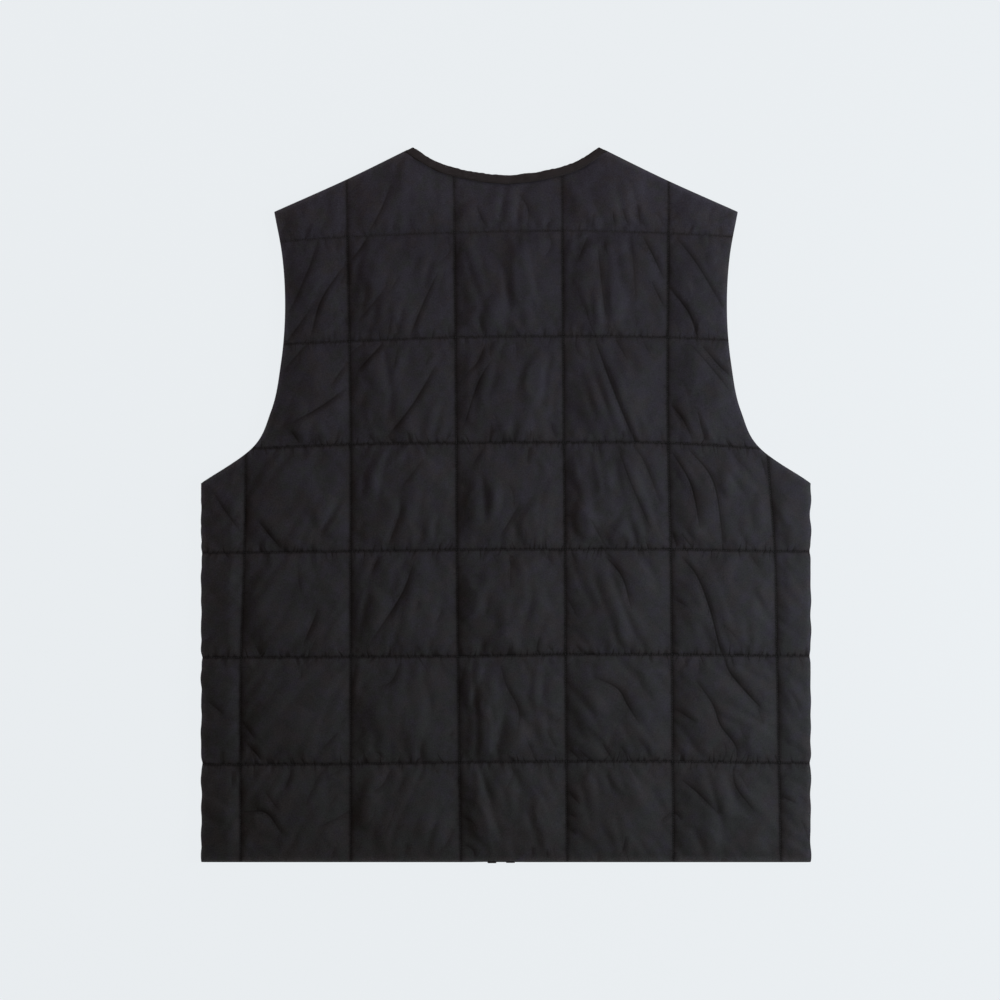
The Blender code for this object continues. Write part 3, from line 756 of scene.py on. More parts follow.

# %% [markdown]
# ## The padding and its creases
# Between the stitches the padding pushes the cloth up: steeply beside a line, then nearly flat.
# Where the cloth is too long for the space it folds into creases, which fall away from the upper
# corners of the squares: down to the left on the left half, down to the right on the right half.
# The main ones are listed: how deep and how wide each one is, and the places it runs
# through. A crease is a trough with a ridge of pushed-up cloth on its right.

# %% Creases of the back
CREASES = (
    # depth, half width, places from its start to its end
    (1.0, 5, ((-109, 304), (-118, 280), (-131, 257))),
    (1.2, 4, ((-131, 254), (-138, 243), (-146, 232))),
    (0.9, 5, ((-177, 253), (-191, 213), (-207, 180))),
    (1.3, 6, ((-151, 230), (-175, 194), (-186, 156))),
    (0.9, 5, ((-186, 185), (-198, 168), (-210, 152))),
    (1.2, 9, ((-63, 223), (-77, 194), (-91, 160))),
    (0.8, 5, ((-115, 204), (-128, 188), (-141, 173))),
    (0.7, 3, ((-112, 161), (-110, 171), (-108, 180))),
    (0.7, 3, ((-108, 180), (-104, 169), (-101, 158))),
    (0.8, 4, ((-150, 135), (-159, 123), (-167, 111))),
    (1.7, 6, ((-151, 110), (-177, 92), (-205, 76))),
    (0.8, 5, ((-186, 156), (-198, 142), (-210, 128))),
    (1.3, 4, ((-205, 71), (-200, 64), (-196, 57))),
    (0.8, 3, ((-179, 69), (-177, 62), (-176, 56))),
    (1.4, 5, ((-115, 155), (-129, 139), (-141, 126))),
    (0.7, 4, ((-101, 152), (-104, 140), (-106, 128))),
    (1.5, 6, ((-66, 133), (-89, 94), (-115, 61))),
    (0.9, 3, ((-131, 68), (-127, 62), (-123, 56))),
    (0.8, 3, ((-95, 71), (-92, 65), (-90, 58))),
    (0.9, 5, ((12, 296), (21, 280), (20, 261))),
    (0.8, 5, ((-29, 285), (-24, 273), (-18, 262))),
    (0.6, 4, ((45, 272), (41, 267), (37, 263))),
    (0.7, 4, ((-27, 180), (-24, 170), (-21, 160))),
    (1.0, 5, ((-18, 156), (-27, 135), (-38, 123))),
    (1.2, 9, ((-15, 135), (-27, 114), (-41, 71))),
    (0.6, 4, ((9, 156), (10, 147), (11, 137))),
    (0.7, 3, ((-14, 80), (-14, 71), (-13, 61))),
    (0.7, 3, ((24, 73), (23, 67), (23, 61))),
    (0.7, 3, ((83, 277), (82, 269), (81, 261))),
    (0.8, 4, ((101, 280), (102, 271), (104, 262))),
    (0.9, 4, ((110, 282), (113, 272), (117, 263))),
    (0.8, 4, ((124, 286), (126, 275), (127, 263))),
    (0.9, 5, ((78, 255), (73, 243), (68, 230))),
    (0.9, 5, ((86, 256), (91, 204), (95, 175))),
    (0.7, 4, ((74, 190), (78, 176), (82, 163))),
    (1.4, 5, ((129, 255), (139, 237), (150, 213))),
    (0.9, 4, ((137, 213), (144, 199), (151, 185))),
    (0.7, 5, ((119, 251), (121, 222), (123, 194))),
    (1.2, 6, ((161, 254), (181, 228), (208, 183))),
    (1.6, 6, ((154, 207), (173, 182), (182, 157))),
    (1.4, 6, ((184, 153), (201, 133), (214, 121))),
    (1.0, 5, ((173, 154), (196, 128), (211, 109))),
    (1.8, 6, ((84, 157), (103, 105), (122, 60))),
    (0.8, 4, ((104, 157), (110, 146), (116, 135))),
    (0.6, 4, ((129, 156), (133, 149), (137, 142))),
    (1.0, 5, ((156, 95), (168, 80), (177, 61))),
    (0.9, 4, ((181, 90), (185, 74), (189, 59))),
    (0.9, 4, ((105, 57), (118, 20), (138, -25))),
    (0.8, 4, ((120, 57), (132, 38), (148, -3))),
    (0.7, 4, ((78, -11), (86, -25), (93, -38))),
    (1.4, 8, ((156, 52), (175, 19), (184, -24))),
    (1.5, 7, ((171, 55), (196, 22), (206, -36))),
    (1.1, 3, ((157, -24), (160, -33), (162, -41))),
    (1.0, 3, ((165, -26), (171, -34), (177, -41))),
    (0.8, 4, ((240, 50), (244, 37), (248, 23))),
    (1.0, 5, ((-278, 12), (-265, -8), (-251, -27))),
    (1.4, 5, ((-235, -15), (-224, -29), (-213, -42))),
    (0.9, 5, ((-98, -1), (-105, -21), (-112, -40))),
    (0.7, 5, ((-78, 44), (-89, 29), (-101, 14))),
    (0.7, 4, ((-19, 56), (-26, 46), (-32, 38))),
    (0.9, 3, ((22, 57), (21, 47), (20, 38))),
    (0.8, 7, ((15, 4), (5, -13), (-6, -31))),
    (1.1, 5, ((-177, -96), (-185, -116), (-193, -135))),
    (0.8, 3, ((-238, -133), (-235, -139), (-232, -144))),
    (1.7, 7, ((-88, -57), (-100, -87), (-130, -133))),
    (0.8, 4, ((-119, -48), (-124, -57), (-128, -67))),
    (0.7, 3, ((2, -48), (4, -55), (6, -62))),
    (0.7, 4, ((5, -46), (4, -64), (4, -81))),
    (0.8, 3, ((32, -124), (30, -132), (29, -140))),
    (0.7, 3, ((39, -133), (42, -137), (45, -140))),
    (1.6, 6, ((93, -48), (110, -69), (119, -100))),
    (0.7, 4, ((58, -89), (63, -98), (68, -108))),
    (0.8, 3, ((66, -133), (70, -138), (75, -143))),
    (2.4, 8, ((165, -48), (181, -68), (193, -99), (202, -134), (206, -143))),
    (0.8, 4, ((158, -89), (165, -93), (172, -97))),
    (2.0, 7, ((206, -146), (214, -162), (233, -184), (242, -193))),
    (2.2, 8, ((179, -165), (196, -190), (203, -209), (217, -228), (219, -242))),
    (0.9, 4, ((159, -193), (170, -200), (181, -207))),
    (1.4, 6, ((80, -162), (105, -174), (115, -190), (127, -209))),
    (1.0, 4, ((58, -231), (66, -238), (70, -243))),
    (0.9, 3, ((68, -231), (74, -237), (80, -243))),
    (0.8, 3, ((90, -224), (95, -233), (101, -243))),
    (0.7, 3, ((108, -228), (112, -235), (116, -243))),
    (0.9, 5, ((-6, -149), (0, -171), (12, -195), (10, -219))),
    (0.7, 3, ((20, -224), (24, -233), (28, -242))),
    (0.6, 4, ((44, -207), (48, -205), (52, -202))),
    (0.9, 5, ((-100, -148), (-108, -167), (-122, -174))),
    (0.8, 3, ((-123, -233), (-119, -238), (-115, -243))),
    (0.7, 3, ((-55, -221), (-52, -218), (-48, -215))),
    (1.5, 5, ((-246, -226), (-238, -235), (-231, -244))),
    (0.9, 4, ((-251, -205), (-244, -214), (-236, -224))),
    (0.7, 4, ((-193, -148), (-194, -158), (-194, -167))),
    (0.8, 4, ((-158, -207), (-155, -206), (-151, -205))),
    (0.9, 4, ((-158, -214), (-166, -223), (-175, -233))),
    (0.9, 5, ((-284, -186), (-275, -193), (-267, -200))),
    (0.8, 4, ((-203, -250), (-206, -261), (-210, -271))),
    (0.9, 5, ((-229, -271), (-222, -281), (-215, -290))),
    (1.5, 5, ((-251, -292), (-228, -292), (-212, -313))),
    (0.9, 4, ((-147, -290), (-163, -299), (-181, -307))),
    (0.8, 5, ((-108, -249), (-117, -266), (-127, -273))),
    (0.8, 4, ((3, -248), (7, -255), (-1, -271))),
    (0.8, 4, ((-44, -295), (-31, -302), (-28, -311))),
    (0.9, 3, ((-40, -322), (-31, -328), (-30, -336))),
    (0.7, 3, ((25, -323), (25, -329), (26, -335))),
    (0.7, 3, ((39, -326), (39, -331), (39, -336))),
    (0.9, 5, ((59, -271), (64, -278), (70, -284))),
    (0.8, 4, ((59, -292), (63, -295), (67, -298))),
    (0.7, 4, ((59, -307), (63, -310), (67, -314))),
    (0.8, 4, ((114, -312), (112, -322), (110, -331))),
    (0.9, 4, ((158, -291), (163, -295), (167, -300))),
    (0.9, 4, ((158, -291), (152, -296), (146, -300))),
    (1.3, 6, ((165, -260), (181, -273), (203, -295))),
    (1.0, 5, ((215, -248), (218, -268), (237, -293))),
    (0.9, 4, ((260, -276), (268, -280), (276, -283))),
)


def smooth_path(places, step=2.0):
    """Points about step apart on a smooth line through the places."""
    places = np.array(places, float)
    number = np.arange(len(places))
    length = np.hypot(*np.diff(places, axis=0).T).sum()
    at = np.linspace(0, len(places) - 1, max(4, round(length / step)))
    return np.column_stack([smooth_line(number, places[:, k], at) for k in (0, 1)])


def fold_shape(aside):
    """Height across a fold of unit depth and half width. The cloth dips gently towards the sharp
    line of the fold, rises steeply on its right and then rounds off into a soft ridge."""
    left = -0.45 * np.exp(np.minimum(aside, 0) / 1.1)
    right = -0.45 + 1.25 * (1 - np.exp(-np.maximum(aside, 0) / 1.3))
    return np.where(aside < 0, left, right) * np.exp(-((aside / 3.9) ** 2))


def crease_relief(creases, x, y):
    """Height in mm that the creases add at each point, and for the finish each point's distance
    to the right of the nearest crease's line and how sharp that crease is there."""
    relief = np.zeros(len(x))
    distance = np.full(len(x), 9.0)
    sharpness = np.zeros(len(x))
    for depth, half, places in creases:
        path = smooth_path(places)
        reach = 4 * half + 4
        low, high = path.min(axis=0) - reach, path.max(axis=0) + reach
        near = np.flatnonzero((x > low[0]) & (x < high[0]) & (y > low[1]) & (y < high[1]))
        if not len(near):
            continue
        away = np.hypot(x[near, None] - path[:, 0], y[near, None] - path[:, 1])
        nearest = away.argmin(axis=1)
        tangent = np.gradient(path, axis=0)[nearest]
        tangent /= np.hypot(tangent[:, 0], tangent[:, 1])[:, None]
        offset = np.column_stack([x[near], y[near]]) - path[nearest]
        aside = offset[:, 1] * tangent[:, 0] - offset[:, 0] * tangent[:, 1]
        right = np.where(tangent[:, 1] > 0, -aside, aside)
        past = np.abs((offset * tangent).sum(axis=1))
        share = nearest / (len(path) - 1)
        ends = np.clip(np.sin(math.pi * share), 0, 1) ** 0.55 * np.exp(-((past / half) ** 2))
        width = 0.7 * half * (0.6 + 0.4 * ends)
        relief[near] += 0.95 * depth * ends * fold_shape(right / width)
        sharp = np.clip(depth, 0, 1.4) * ends
        sharp *= np.clip(1.5 - (right / np.where(right > 0, 4.6, 2.6)) ** 2, 0, 1)
        better = sharp > sharpness[near]
        distance[near[better]] = right[better]
        sharpness[near[better]] = sharp[better]
    return relief, distance, sharpness


def strewn_creases(seed, count):
    """Fine creases all over a panel. Most start at a level line of stitches, and they lean
    outwards going down, as the main ones do."""
    rng = np.random.default_rng(seed)
    creases = []
    for _ in range(count):
        x, y = rng.uniform(-285, 285), rng.uniform(-335, 335)
        lean = 0.42 * math.tanh(x / 70) + rng.normal(0, 0.26)
        length = rng.uniform(9, 34)
        if rng.random() < 0.6:
            y = float(level_y(int(rng.integers(0, 6)), x)) - 2
            if rng.random() < 0.45:
                length = 0.6 * length
                y = y + 4 + length
        way = np.array((math.sin(lean), -math.cos(lean)))
        across = np.array((way[1], -way[0])) * rng.normal(0, 0.09) * length
        start = np.array((x, y))
        places = (start, start + way * length / 2 + across, start + way * length)
        creases.append((rng.uniform(0.10, 0.6), rng.uniform(2.4, 5.5), places))
    return creases


# %% [markdown]
# ## Gathers along the seams
# Sewing pulls the cloth together, so short gathers stand along each line. Above a level line they
# are dense and deep, because the cloth hangs over them; along an upright line there are few. They
# are strewn by a seeded generator: each has its own place, slant, length and depth.

# %% Relief of the padding
RIGHT_OF_LINE = (36.0, 3.0)  # reach and power of the puff on the right of an upright line
LEFT_OF_LINE = (61.0, 2.1)  # and on its left, which is gentler
NARROW = (13.0, 1.4)  # beside the outermost lines, where the cloth only falls towards the side
ABOVE_LINE = (34.0, 2.6)
BELOW_LINE = (42.0, 2.2)
AT_EDGE = (36.0, 1.25)
STITCHED = 2.25  # thickness of the padded cloth under a line of stitches
BACK_FLOOR = 5.75  # underside of the back
BACK_RISE = 4.7  # of its fullest squares over the stitches
UNEVEN = 0.13  # share by which its lumps change that
LUMP = 34.0
NECK_SAG = 2.5
RIPPLE = 1.45  # height of the soft folds
GATHER = 1.5  # scale of the gathers' depth
CALM_EDGE = 6.0  # creases fade out this close to an edge


def puff(distance, shape):
    """Share of the full height at a distance from a line of stitches or an edge."""
    reach, power = shape
    return 1 - (1 - np.clip(distance / reach, 0, 1)) ** power


def sides_of(place, lines):
    """Distance of each place from the next line below it in value, and from the next one above."""
    gap = place - np.array(lines)
    before = np.where(gap >= 0, gap, np.inf).min(axis=0)
    after = np.where(gap < 0, -gap, np.inf).min(axis=0)
    return before, after


def quilt_puff(x, y, uprights_x, levels_y):
    """Share of the full height at each point, from the lines of stitches around it."""
    right_of, left_of = sides_of(x, uprights_x)
    above, below = sides_of(y, levels_y)
    last, first = x > uprights_x[-1], x < uprights_x[0]
    on_right = np.where(last, puff(right_of, NARROW), puff(right_of, RIGHT_OF_LINE))
    on_left = np.where(first, puff(left_of, NARROW), puff(left_of, LEFT_OF_LINE))
    across = on_right * on_left * np.where(last | first, 0.75, 1.0)
    return across * puff(above, ABOVE_LINE) * puff(below, BELOW_LINE)


def lumps(x, y, seed, size, waves=26):
    """Soft random unevenness, about -1 to 1, with bumps of about that size in mm."""
    rng = np.random.default_rng(seed)
    total = np.zeros(np.shape(x))
    for _ in range(waves):
        turn, phase, stretch = rng.uniform(0, 2 * math.pi, 2).tolist() + [rng.uniform(0.7, 1.4)]
        rate = math.pi / (size * stretch)
        total += np.cos(rate * (x * math.cos(turn) + y * math.sin(turn)) + phase)
    return total / math.sqrt(waves / 2) / 1.6


def gather_relief(along, away, rng, spacing, depth, length):
    """Troughs that leave a line of stitches. along runs on the line, and away is the distance
    from it."""
    if not len(along):
        return along
    count = int((along.max() - along.min()) / spacing[0]) + 3
    centres = along.min() - spacing[1] + np.cumsum(rng.uniform(*spacing, count))
    slant = rng.normal(0, 0.32, count)
    deep = rng.uniform(*depth, count) * rng.choice((0.35, 0.7, 1.0, 1.25), count)
    reach = rng.uniform(*length, count)
    half = rng.uniform(1.6, 3.8, count)
    relief = np.zeros(len(along))
    after = np.clip(np.searchsorted(centres, along), 1, count - 1)
    for k in (after - 1, after):
        aside = (along - centres[k] - slant[k] * away) / half[k]
        fade = np.clip(1 - away / reach[k], 0, 1) ** 1.3 * (1 - np.exp(-away / 1.6))
        relief += deep[k] * fade * fold_shape(aside)
    return relief


GATHERS = {
    # which side of a line: spacing, depth and length in mm, each from and to
    "above": ((5.0, 12.0), (0.5, 1.25), (7, 25)),
    "below": ((6.0, 14.0), (0.4, 1.1), (6, 24)),
    "beside": ((7.0, 20.0), (0.25, 0.7), (5, 12)),
}


def seam_gathers(x, y, seed, uprights_x, levels_y):
    """All gathers of a panel. A level line has deeper ones on its upper side."""
    rng = np.random.default_rng(seed)
    relief = np.zeros(len(x))
    for line in levels_y:
        for side, kind in ((1, "above"), (-1, "below")):
            away = side * (y - line)
            near = np.flatnonzero((away > 0) & (away < GATHERS[kind][2][1]))
            relief[near] += gather_relief(x[near], away[near], rng, *GATHERS[kind])
    for line in uprights_x:
        for side in (1, -1):
            away = side * (x - line)
            near = np.flatnonzero((away > 0) & (away < GATHERS["beside"][2][1]))
            relief[near] += gather_relief(y[near], away[near], rng, *GATHERS["beside"])
    return relief


def ripples(x, y, seed, uprights_x, levels_y):
    """Soft folds that run the same way through a square, about 0 to 1: round backs with a crisp
    valley between them, where the waves of a few sines cross zero. Each square has its own."""
    column = (x > np.array(uprights_x)).sum(axis=0)
    row = (y > np.array(levels_y)).sum(axis=0)
    total = np.zeros(len(x))
    for square in range(49):
        rng = np.random.default_rng([seed, square])
        here = np.flatnonzero((column == square % 7) & (row == square // 7))
        if not len(here):
            continue
        lean = 0.003 * x[here].mean() + rng.normal(0, 0.12)
        for size in (1.0, 0.55):
            wave = np.zeros(len(here))
            for _ in range(5):
                turn = lean + rng.normal(0, 0.22)
                rate = 2 * math.pi / (size * rng.uniform(36, 90))
                across = x[here] * math.cos(turn) + y[here] * math.sin(turn)
                wave += np.cos(rate * across + rng.uniform(0, 6.3)) / 1.6
            patch = lumps(x[here], y[here], int(rng.integers(1, 9999)), 26.0, 7)
            strength = rng.uniform(0.6, 1.0) * np.clip(0.55 + 0.9 * patch, 0.1, 1.3)
            total[here] += strength * size * np.sqrt(wave**2 + 0.01)
    return total


def side_wander(x, y):
    """How far the side edges bulge between the level seams and pinch at them, in mm outwards."""
    bulge = 0.45 * lumps(y, np.sign(x) * 90.0, 51, 13.0, 12)
    for number in range(3):
        bulge = bulge - 1.0 * np.exp(-(((y - level_y(number, x)) / 4.0) ** 2))
    return bulge * np.sign(x) * np.clip((np.abs(x) - 262) / 24, 0, 1)


def neck_sag(x, y):
    """How far the back sinks into the cut-out of the front neck."""
    share = np.clip(1 - (x / NECK_X[-1]) ** 2, 0, 1)
    return NECK_SAG * share * np.clip((y - front_neck_y(x)) / 45.0, 0, 1)


def edge_distance(bm, is_bound):
    """Two distances in mm for each point of an open grid: from the nearest edge, where a bound
    edge counts from the inner side of its binding, and from the nearest edge without a binding."""
    found = []
    for bound, inset in ((False, 0.0), (True, TAPE_WIDTH - TUCKED)):
        rim = [v.co for v in bm.verts if v.is_boundary and is_bound(v.co) == bound]
        tree = KDTree(len(rim))
        for number, place in enumerate(rim):
            tree.insert(place, number)
        tree.balance()
        found.append(np.array([tree.find(v.co)[2] for v in bm.verts]) - inset)
    return np.minimum(*found), found[0]


def under_tape(from_edge):
    """How far a panel is pressed down inside its binding."""
    return 0.8 * np.clip(-from_edge / 1.5, 0, 1)


def painted_edge_light(from_edge, from_free):
    """Painted light: 1 at an edge without a binding, a painted reflection of the pale floor where the
    cloth turns down, and below 0 close beside a binding, painted shade where it keeps the light off."""
    beside_tape = np.clip((from_free - from_edge) / 3.0, 0, 1) * np.exp(-((from_edge / 1.7) ** 2))
    return np.exp(-((from_free / 3.2) ** 2)) - 0.7 * beside_tape


# %% [markdown]
# ## From a grid to a padded panel
# A padded panel is a closed form: the fine upper cloth, a rounded edge where the two layers of
# cloth are turned in and sewn, and a plain lower cloth. The lower cloth needs few faces, so it is
# a coarser grid of the same cut. `bridge_loops` joins the two rims, although one has more points.

# %% Panel maker
def finish_piece(name, bm, material, uv=None, angle=50.0):
    """A finished object from a bmesh in mm. uv gives two numbers for each point's x and y."""
    bmesh.ops.recalc_face_normals(bm, faces=bm.faces)
    mesh = bpy.data.meshes.new(name)
    bm.to_mesh(mesh)
    bm.free()
    if uv is not None:
        place = np.empty(len(mesh.vertices) * 3)
        mesh.vertices.foreach_get("co", place)
        place = place.reshape(-1, 3)
        corner = np.empty(len(mesh.loops), int)
        mesh.loops.foreach_get("vertex_index", corner)
        layer = mesh.uv_layers.new(name="quilt")
        values = uv(place[:, 0], place[:, 1])[corner]
        layer.data.foreach_set("uv", values.astype(np.float32).ravel())
    mesh.transform(Matrix.Scale(MM, 4))
    mesh.materials.append(material)
    mesh.shade_smooth()
    mesh.set_sharp_from_angle(angle=math.radians(angle))
    obj = bpy.data.objects.new(name, mesh)
    bpy.context.scene.collection.objects.link(obj)
    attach(obj, "root")
    mesh.calc_loop_triangles()
    print(name, len(mesh.loop_triangles), "triangles")
    return obj


def set_heights(bm, heights):
    for vert, height in zip(bm.verts, heights):
        vert.co.z = height


def set_marks(bm, marks):
    """Attributes of the fine face that the finish reads."""
    for name, values in marks.items():
        layer = bm.verts.layers.float.new(name)
        for vert, value in zip(bm.verts, values):
            vert[layer] = value


def count_squares(place, lines):
    """Squares from the first line to each place, so whole numbers lie on lines of stitches."""
    counted = (place - lines[0]) / SQUARE_MM
    for number, (low, high) in enumerate(zip(lines, lines[1:])):
        counted = np.where(place > low, number + (place - low) / (high - low), counted)
    return np.where(place > lines[-1], len(lines) - 1 + (place - lines[-1]) / SQUARE_MM, counted)


def quilt_uv(x, y):
    across = count_squares(x, [upright_x(n, y) for n in range(6)])
    along = count_squares(y, [level_y(n, x) for n in range(6)])
    return np.column_stack([across, along])


def outward(vert):
    """Level direction away from the panel at a point of its rim."""
    way = Vector((0, 0, 0))
    for edge in vert.link_edges:
        if edge.is_boundary:
            side = edge.other_vert(vert).co - vert.co
            face = edge.link_faces[0].calc_center_median() - vert.co
            normal = Vector((-side.y, side.x, 0))
            way += normal.normalized() * (-1 if normal.dot(face) > 0 else 1)
    return way.normalized()


def closed_panel(bm, other, bulge=0.45):
    """Joins the rim of a fine face to that of a coarse one, round a soft edge."""
    rim = [e for e in bm.edges if e.is_boundary]
    away = {tuple(round(c, 3) for c in v.co.xy): outward(v) for v in bm.verts if v.is_boundary}
    middle = bmesh.ops.extrude_edge_only(bm, edges=rim)["geom"]
    far = [v.co.copy() for v in other.verts if v.is_boundary]
    tree = KDTree(len(far))
    for number, place in enumerate(far):
        tree.insert((place.x, place.y, 0), number)
    tree.balance()
    for vert in (g for g in middle if isinstance(g, bmesh.types.BMVert)):
        number = tree.find((vert.co.x, vert.co.y, 0))[1]
        way = away[tuple(round(c, 3) for c in vert.co.xy)]
        vert.co.z += (far[number].z - vert.co.z) * 0.5
        vert.co += way * bulge
    mesh = bpy.data.meshes.new("other_face")
    other.to_mesh(mesh)
    other.free()
    bm.from_mesh(mesh)
    bpy.data.meshes.remove(mesh)
    bmesh.ops.bridge_loops(bm, edges=[e for e in bm.edges if e.is_boundary])
    print("rim joined,", sum(e.is_boundary for e in bm.edges), "edges open")
    return bm


def plan_area(bm):
    """Area in square metres of a flat face that is modelled in mm."""
    return sum(f.calc_area() for f in bm.faces) * MM * MM


# %% [markdown]
# ## The back
# Its height is the padding's puff between the lines of stitches, made uneven by soft lumps, with
# the creases and the gathers on top. Under a line of stitches nothing is added, so the seams stay
# put. Where no front lies below, beside the neck, the whole panel sinks a little. That shape is
# only a start: real cloth is a little longer than the space between its seams. So a coarse copy is
# pinned along its seams, made of slightly larger cloth and settled by Blender's cloth simulation.
# It buckles between the pins as nylon does, and the fine panel takes over how far it moved.

# %% Back
def relief_limits(relief, rise):
    """Keeps troughs and ridges in proportion to how far the cloth stands above its seams there."""
    return np.clip(relief, -0.75 * rise - 0.05, 0.55 * rise + 0.12)


def fold_marks(distance, sharpness, from_edge, from_free):
    """What the finish has to know at each point."""
    # the rim mark is painted light: a painted reflection at free edges, painted shade beside a binding
    rim = painted_edge_light(from_edge, from_free)
    return {"fold_distance": distance, "fold_sharpness": sharpness, "rim": rim}


def back_heights(x, y, from_edge, from_free):
    uprights_x = [upright_x(n, y) for n in range(6)]
    levels_y = [level_y(n, x) for n in range(6)]
    inside = np.clip(from_edge, 0, None)
    full = quilt_puff(x, y, uprights_x, levels_y) * puff(inside, AT_EDGE)
    rise = BACK_RISE * full * (1 + UNEVEN * lumps(x, y, 3, LUMP))
    creased, distance, sharpness = crease_relief([*CREASES, *strewn_creases(61, 260)], x, y)
    creased = creased + GATHER * seam_gathers(x, y, 11, uprights_x, levels_y)
    soft = ripples(x, y, 12, uprights_x, levels_y) - 0.5
    creased = creased + RIPPLE * soft * np.clip(1.6 * full, 0, 1)
    creased = creased * np.clip(inside / CALM_EDGE, 0, 1)
    rise = rise + relief_limits(creased, rise)
    height = BACK_FLOOR + STITCHED + rise - neck_sag(x, y) - under_tape(from_edge)
    return height, fold_marks(distance, sharpness, from_edge, from_free)


SETTLE_STEP = 2  # the simulated copy has every second line of the grid, as `doubled` expects
SETTLE_FRAMES = 14
SETTLE_GROWTH = 0.008  # extra cloth between the seams
SETTLE_SHARE = 0.5  # of its movement is kept
SETTLE_MOST = 1.2  # mm that a point may move


def settled(cut, bm, i, j):
    """How far in mm each point of a panel's coarse face moves when its cloth settles."""
    before = np.array([v.co[:] for v in bm.verts])
    seam = np.isin(i, cut.column_starts) | np.isin(j, cut.row_starts)
    rim = np.array([v.is_boundary for v in bm.verts])
    mesh = bpy.data.meshes.new("settling_cloth")
    bm.to_mesh(mesh)
    bm.free()
    mesh.transform(Matrix.Scale(MM, 4))
    cloth = bpy.data.objects.new("settling_cloth", mesh)
    bpy.context.scene.collection.objects.link(cloth)
    cloth.vertex_groups.new(name="pins").add(np.flatnonzero(seam | rim).tolist(), 1.0, "REPLACE")
    modifier = cloth.modifiers.new("cloth", "CLOTH")
    how = modifier.settings
    how.quality = 6
    how.mass = 0.05
    how.tension_stiffness = how.compression_stiffness = 15
    how.shear_stiffness = 6
    how.bending_stiffness = 0.5
    how.tension_damping = how.compression_damping = how.shear_damping = 8
    how.bending_damping = 0.5
    how.air_damping = 4
    how.vertex_group_mass = "pins"
    how.shrink_min = how.shrink_max = -SETTLE_GROWTH
    how.use_pressure = True
    how.uniform_pressure_force = 0.1
    how.effector_weights.gravity = 0
    modifier.collision_settings.use_collision = False
    modifier.point_cache.frame_end = SETTLE_FRAMES
    for frame_number in range(1, SETTLE_FRAMES + 1):
        bpy.context.scene.frame_set(frame_number)
    after = np.empty(len(before) * 3)
    evaluated = cloth.evaluated_get(bpy.context.evaluated_depsgraph_get())
    evaluated.data.vertices.foreach_get("co", after)
    bpy.context.scene.frame_set(1)
    bpy.data.objects.remove(cloth)
    bpy.data.meshes.remove(mesh)
    moved = (after.reshape(-1, 3) / MM - before) * SETTLE_SHARE
    length = np.linalg.norm(moved, axis=1)
    moved *= (np.minimum(length, SETTLE_MOST) / np.maximum(length, 1e-6))[:, None]
    print("settled by up to", round(float(length.max()), 2), "mm")
    return moved


def doubled(values, axis):
    """Values on every line of a grid from those on every second line, smoothly."""
    values = np.moveaxis(values, axis, 0)
    padded = np.concatenate([values[:1], values, values[-1:]])
    middle = (9 * (values[:-1] + values[1:]) - padded[:-3] - padded[3:]) / 16
    fine = np.zeros((2 * len(values) - 1, *values.shape[1:]))
    fine[::2], fine[1::2] = values, middle
    return np.moveaxis(fine, 0, axis)


def moved_on_fine(cut, i, j, moved, fine_i, fine_j):
    """The movement of a coarse grid's points at the points of the fine grid."""
    rows = cut.row_starts[-1] // SETTLE_STEP + 1
    columns = cut.column_starts[-1] // SETTLE_STEP + 1
    table = np.zeros((rows, columns, 3))
    table[j // SETTLE_STEP, i // SETTLE_STEP] = moved
    fine = doubled(doubled(table, 0), 1)
    return fine[fine_j, fine_i]


def at_back_neck(place):
    return abs(place.x) < 84 and place.y > 300


back_bm, i, j, x, y = BACK.grid()
back_z, marks = back_heights(x, y, *edge_distance(back_bm, at_back_neck))
set_heights(back_bm, back_z)
set_marks(back_bm, marks)
start_bm, start_i, start_j, start_x, start_y = BACK.grid(SETTLE_STEP)
start_z, _ = back_heights(start_x, start_y, *edge_distance(start_bm, at_back_neck))
set_heights(start_bm, start_z)
moved = settled(BACK, start_bm, start_i, start_j)
moved = moved_on_fine(BACK, start_i, start_j, moved, i, j)
lowest = BACK_FLOOR + STITCHED - 1.0 - neck_sag(x, y)
for vert, (a, b, c), low in zip(back_bm.verts, moved, lowest):
    vert.co = (vert.co.x + a, vert.co.y + b, max(vert.co.z + c, low))
back_seams = dict(zip(zip(i.tolist(), j.tolist()), zip(x, y, back_z)))
lining_bm, _, _, x, y = BACK.grid(4)
back_area = plan_area(lining_bm)
set_heights(lining_bm, BACK_FLOOR - neck_sag(x, y))
closed_panel(back_bm, lining_bm)
back = finish_piece("back_panel", back_bm, NYLON, quilt_uv)
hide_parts("back")

# %% [markdown]
# ## Stitches
# A line of stitches is a row of short threads, each pulled down at both ends. One stitch is a
# stretched ball of few faces, and it is repeated along the seam as one joined mesh, with a small
# seeded wobble, because no two stitches of a real machine lie quite alike.

# %% Stitches
STITCH_PITCH = 2.35
STITCH_LENGTH = 1.75
STITCH_WIDTH = 0.5
STITCH_HEIGHT = 0.42
AIM = 0.6  # a stitch points from this far behind it to this far ahead


def one_stitch():
    bm = bmesh.new()
    bmesh.ops.create_icosphere(bm, subdivisions=1, radius=0.5)
    bmesh.ops.scale(bm, vec=(STITCH_LENGTH, STITCH_WIDTH, STITCH_HEIGHT), verts=bm.verts)
    points = np.array([v.co[:] for v in bm.verts])
    faces = np.array([[v.index for v in f.verts] for f in bm.faces])
    bm.free()
    return points, faces


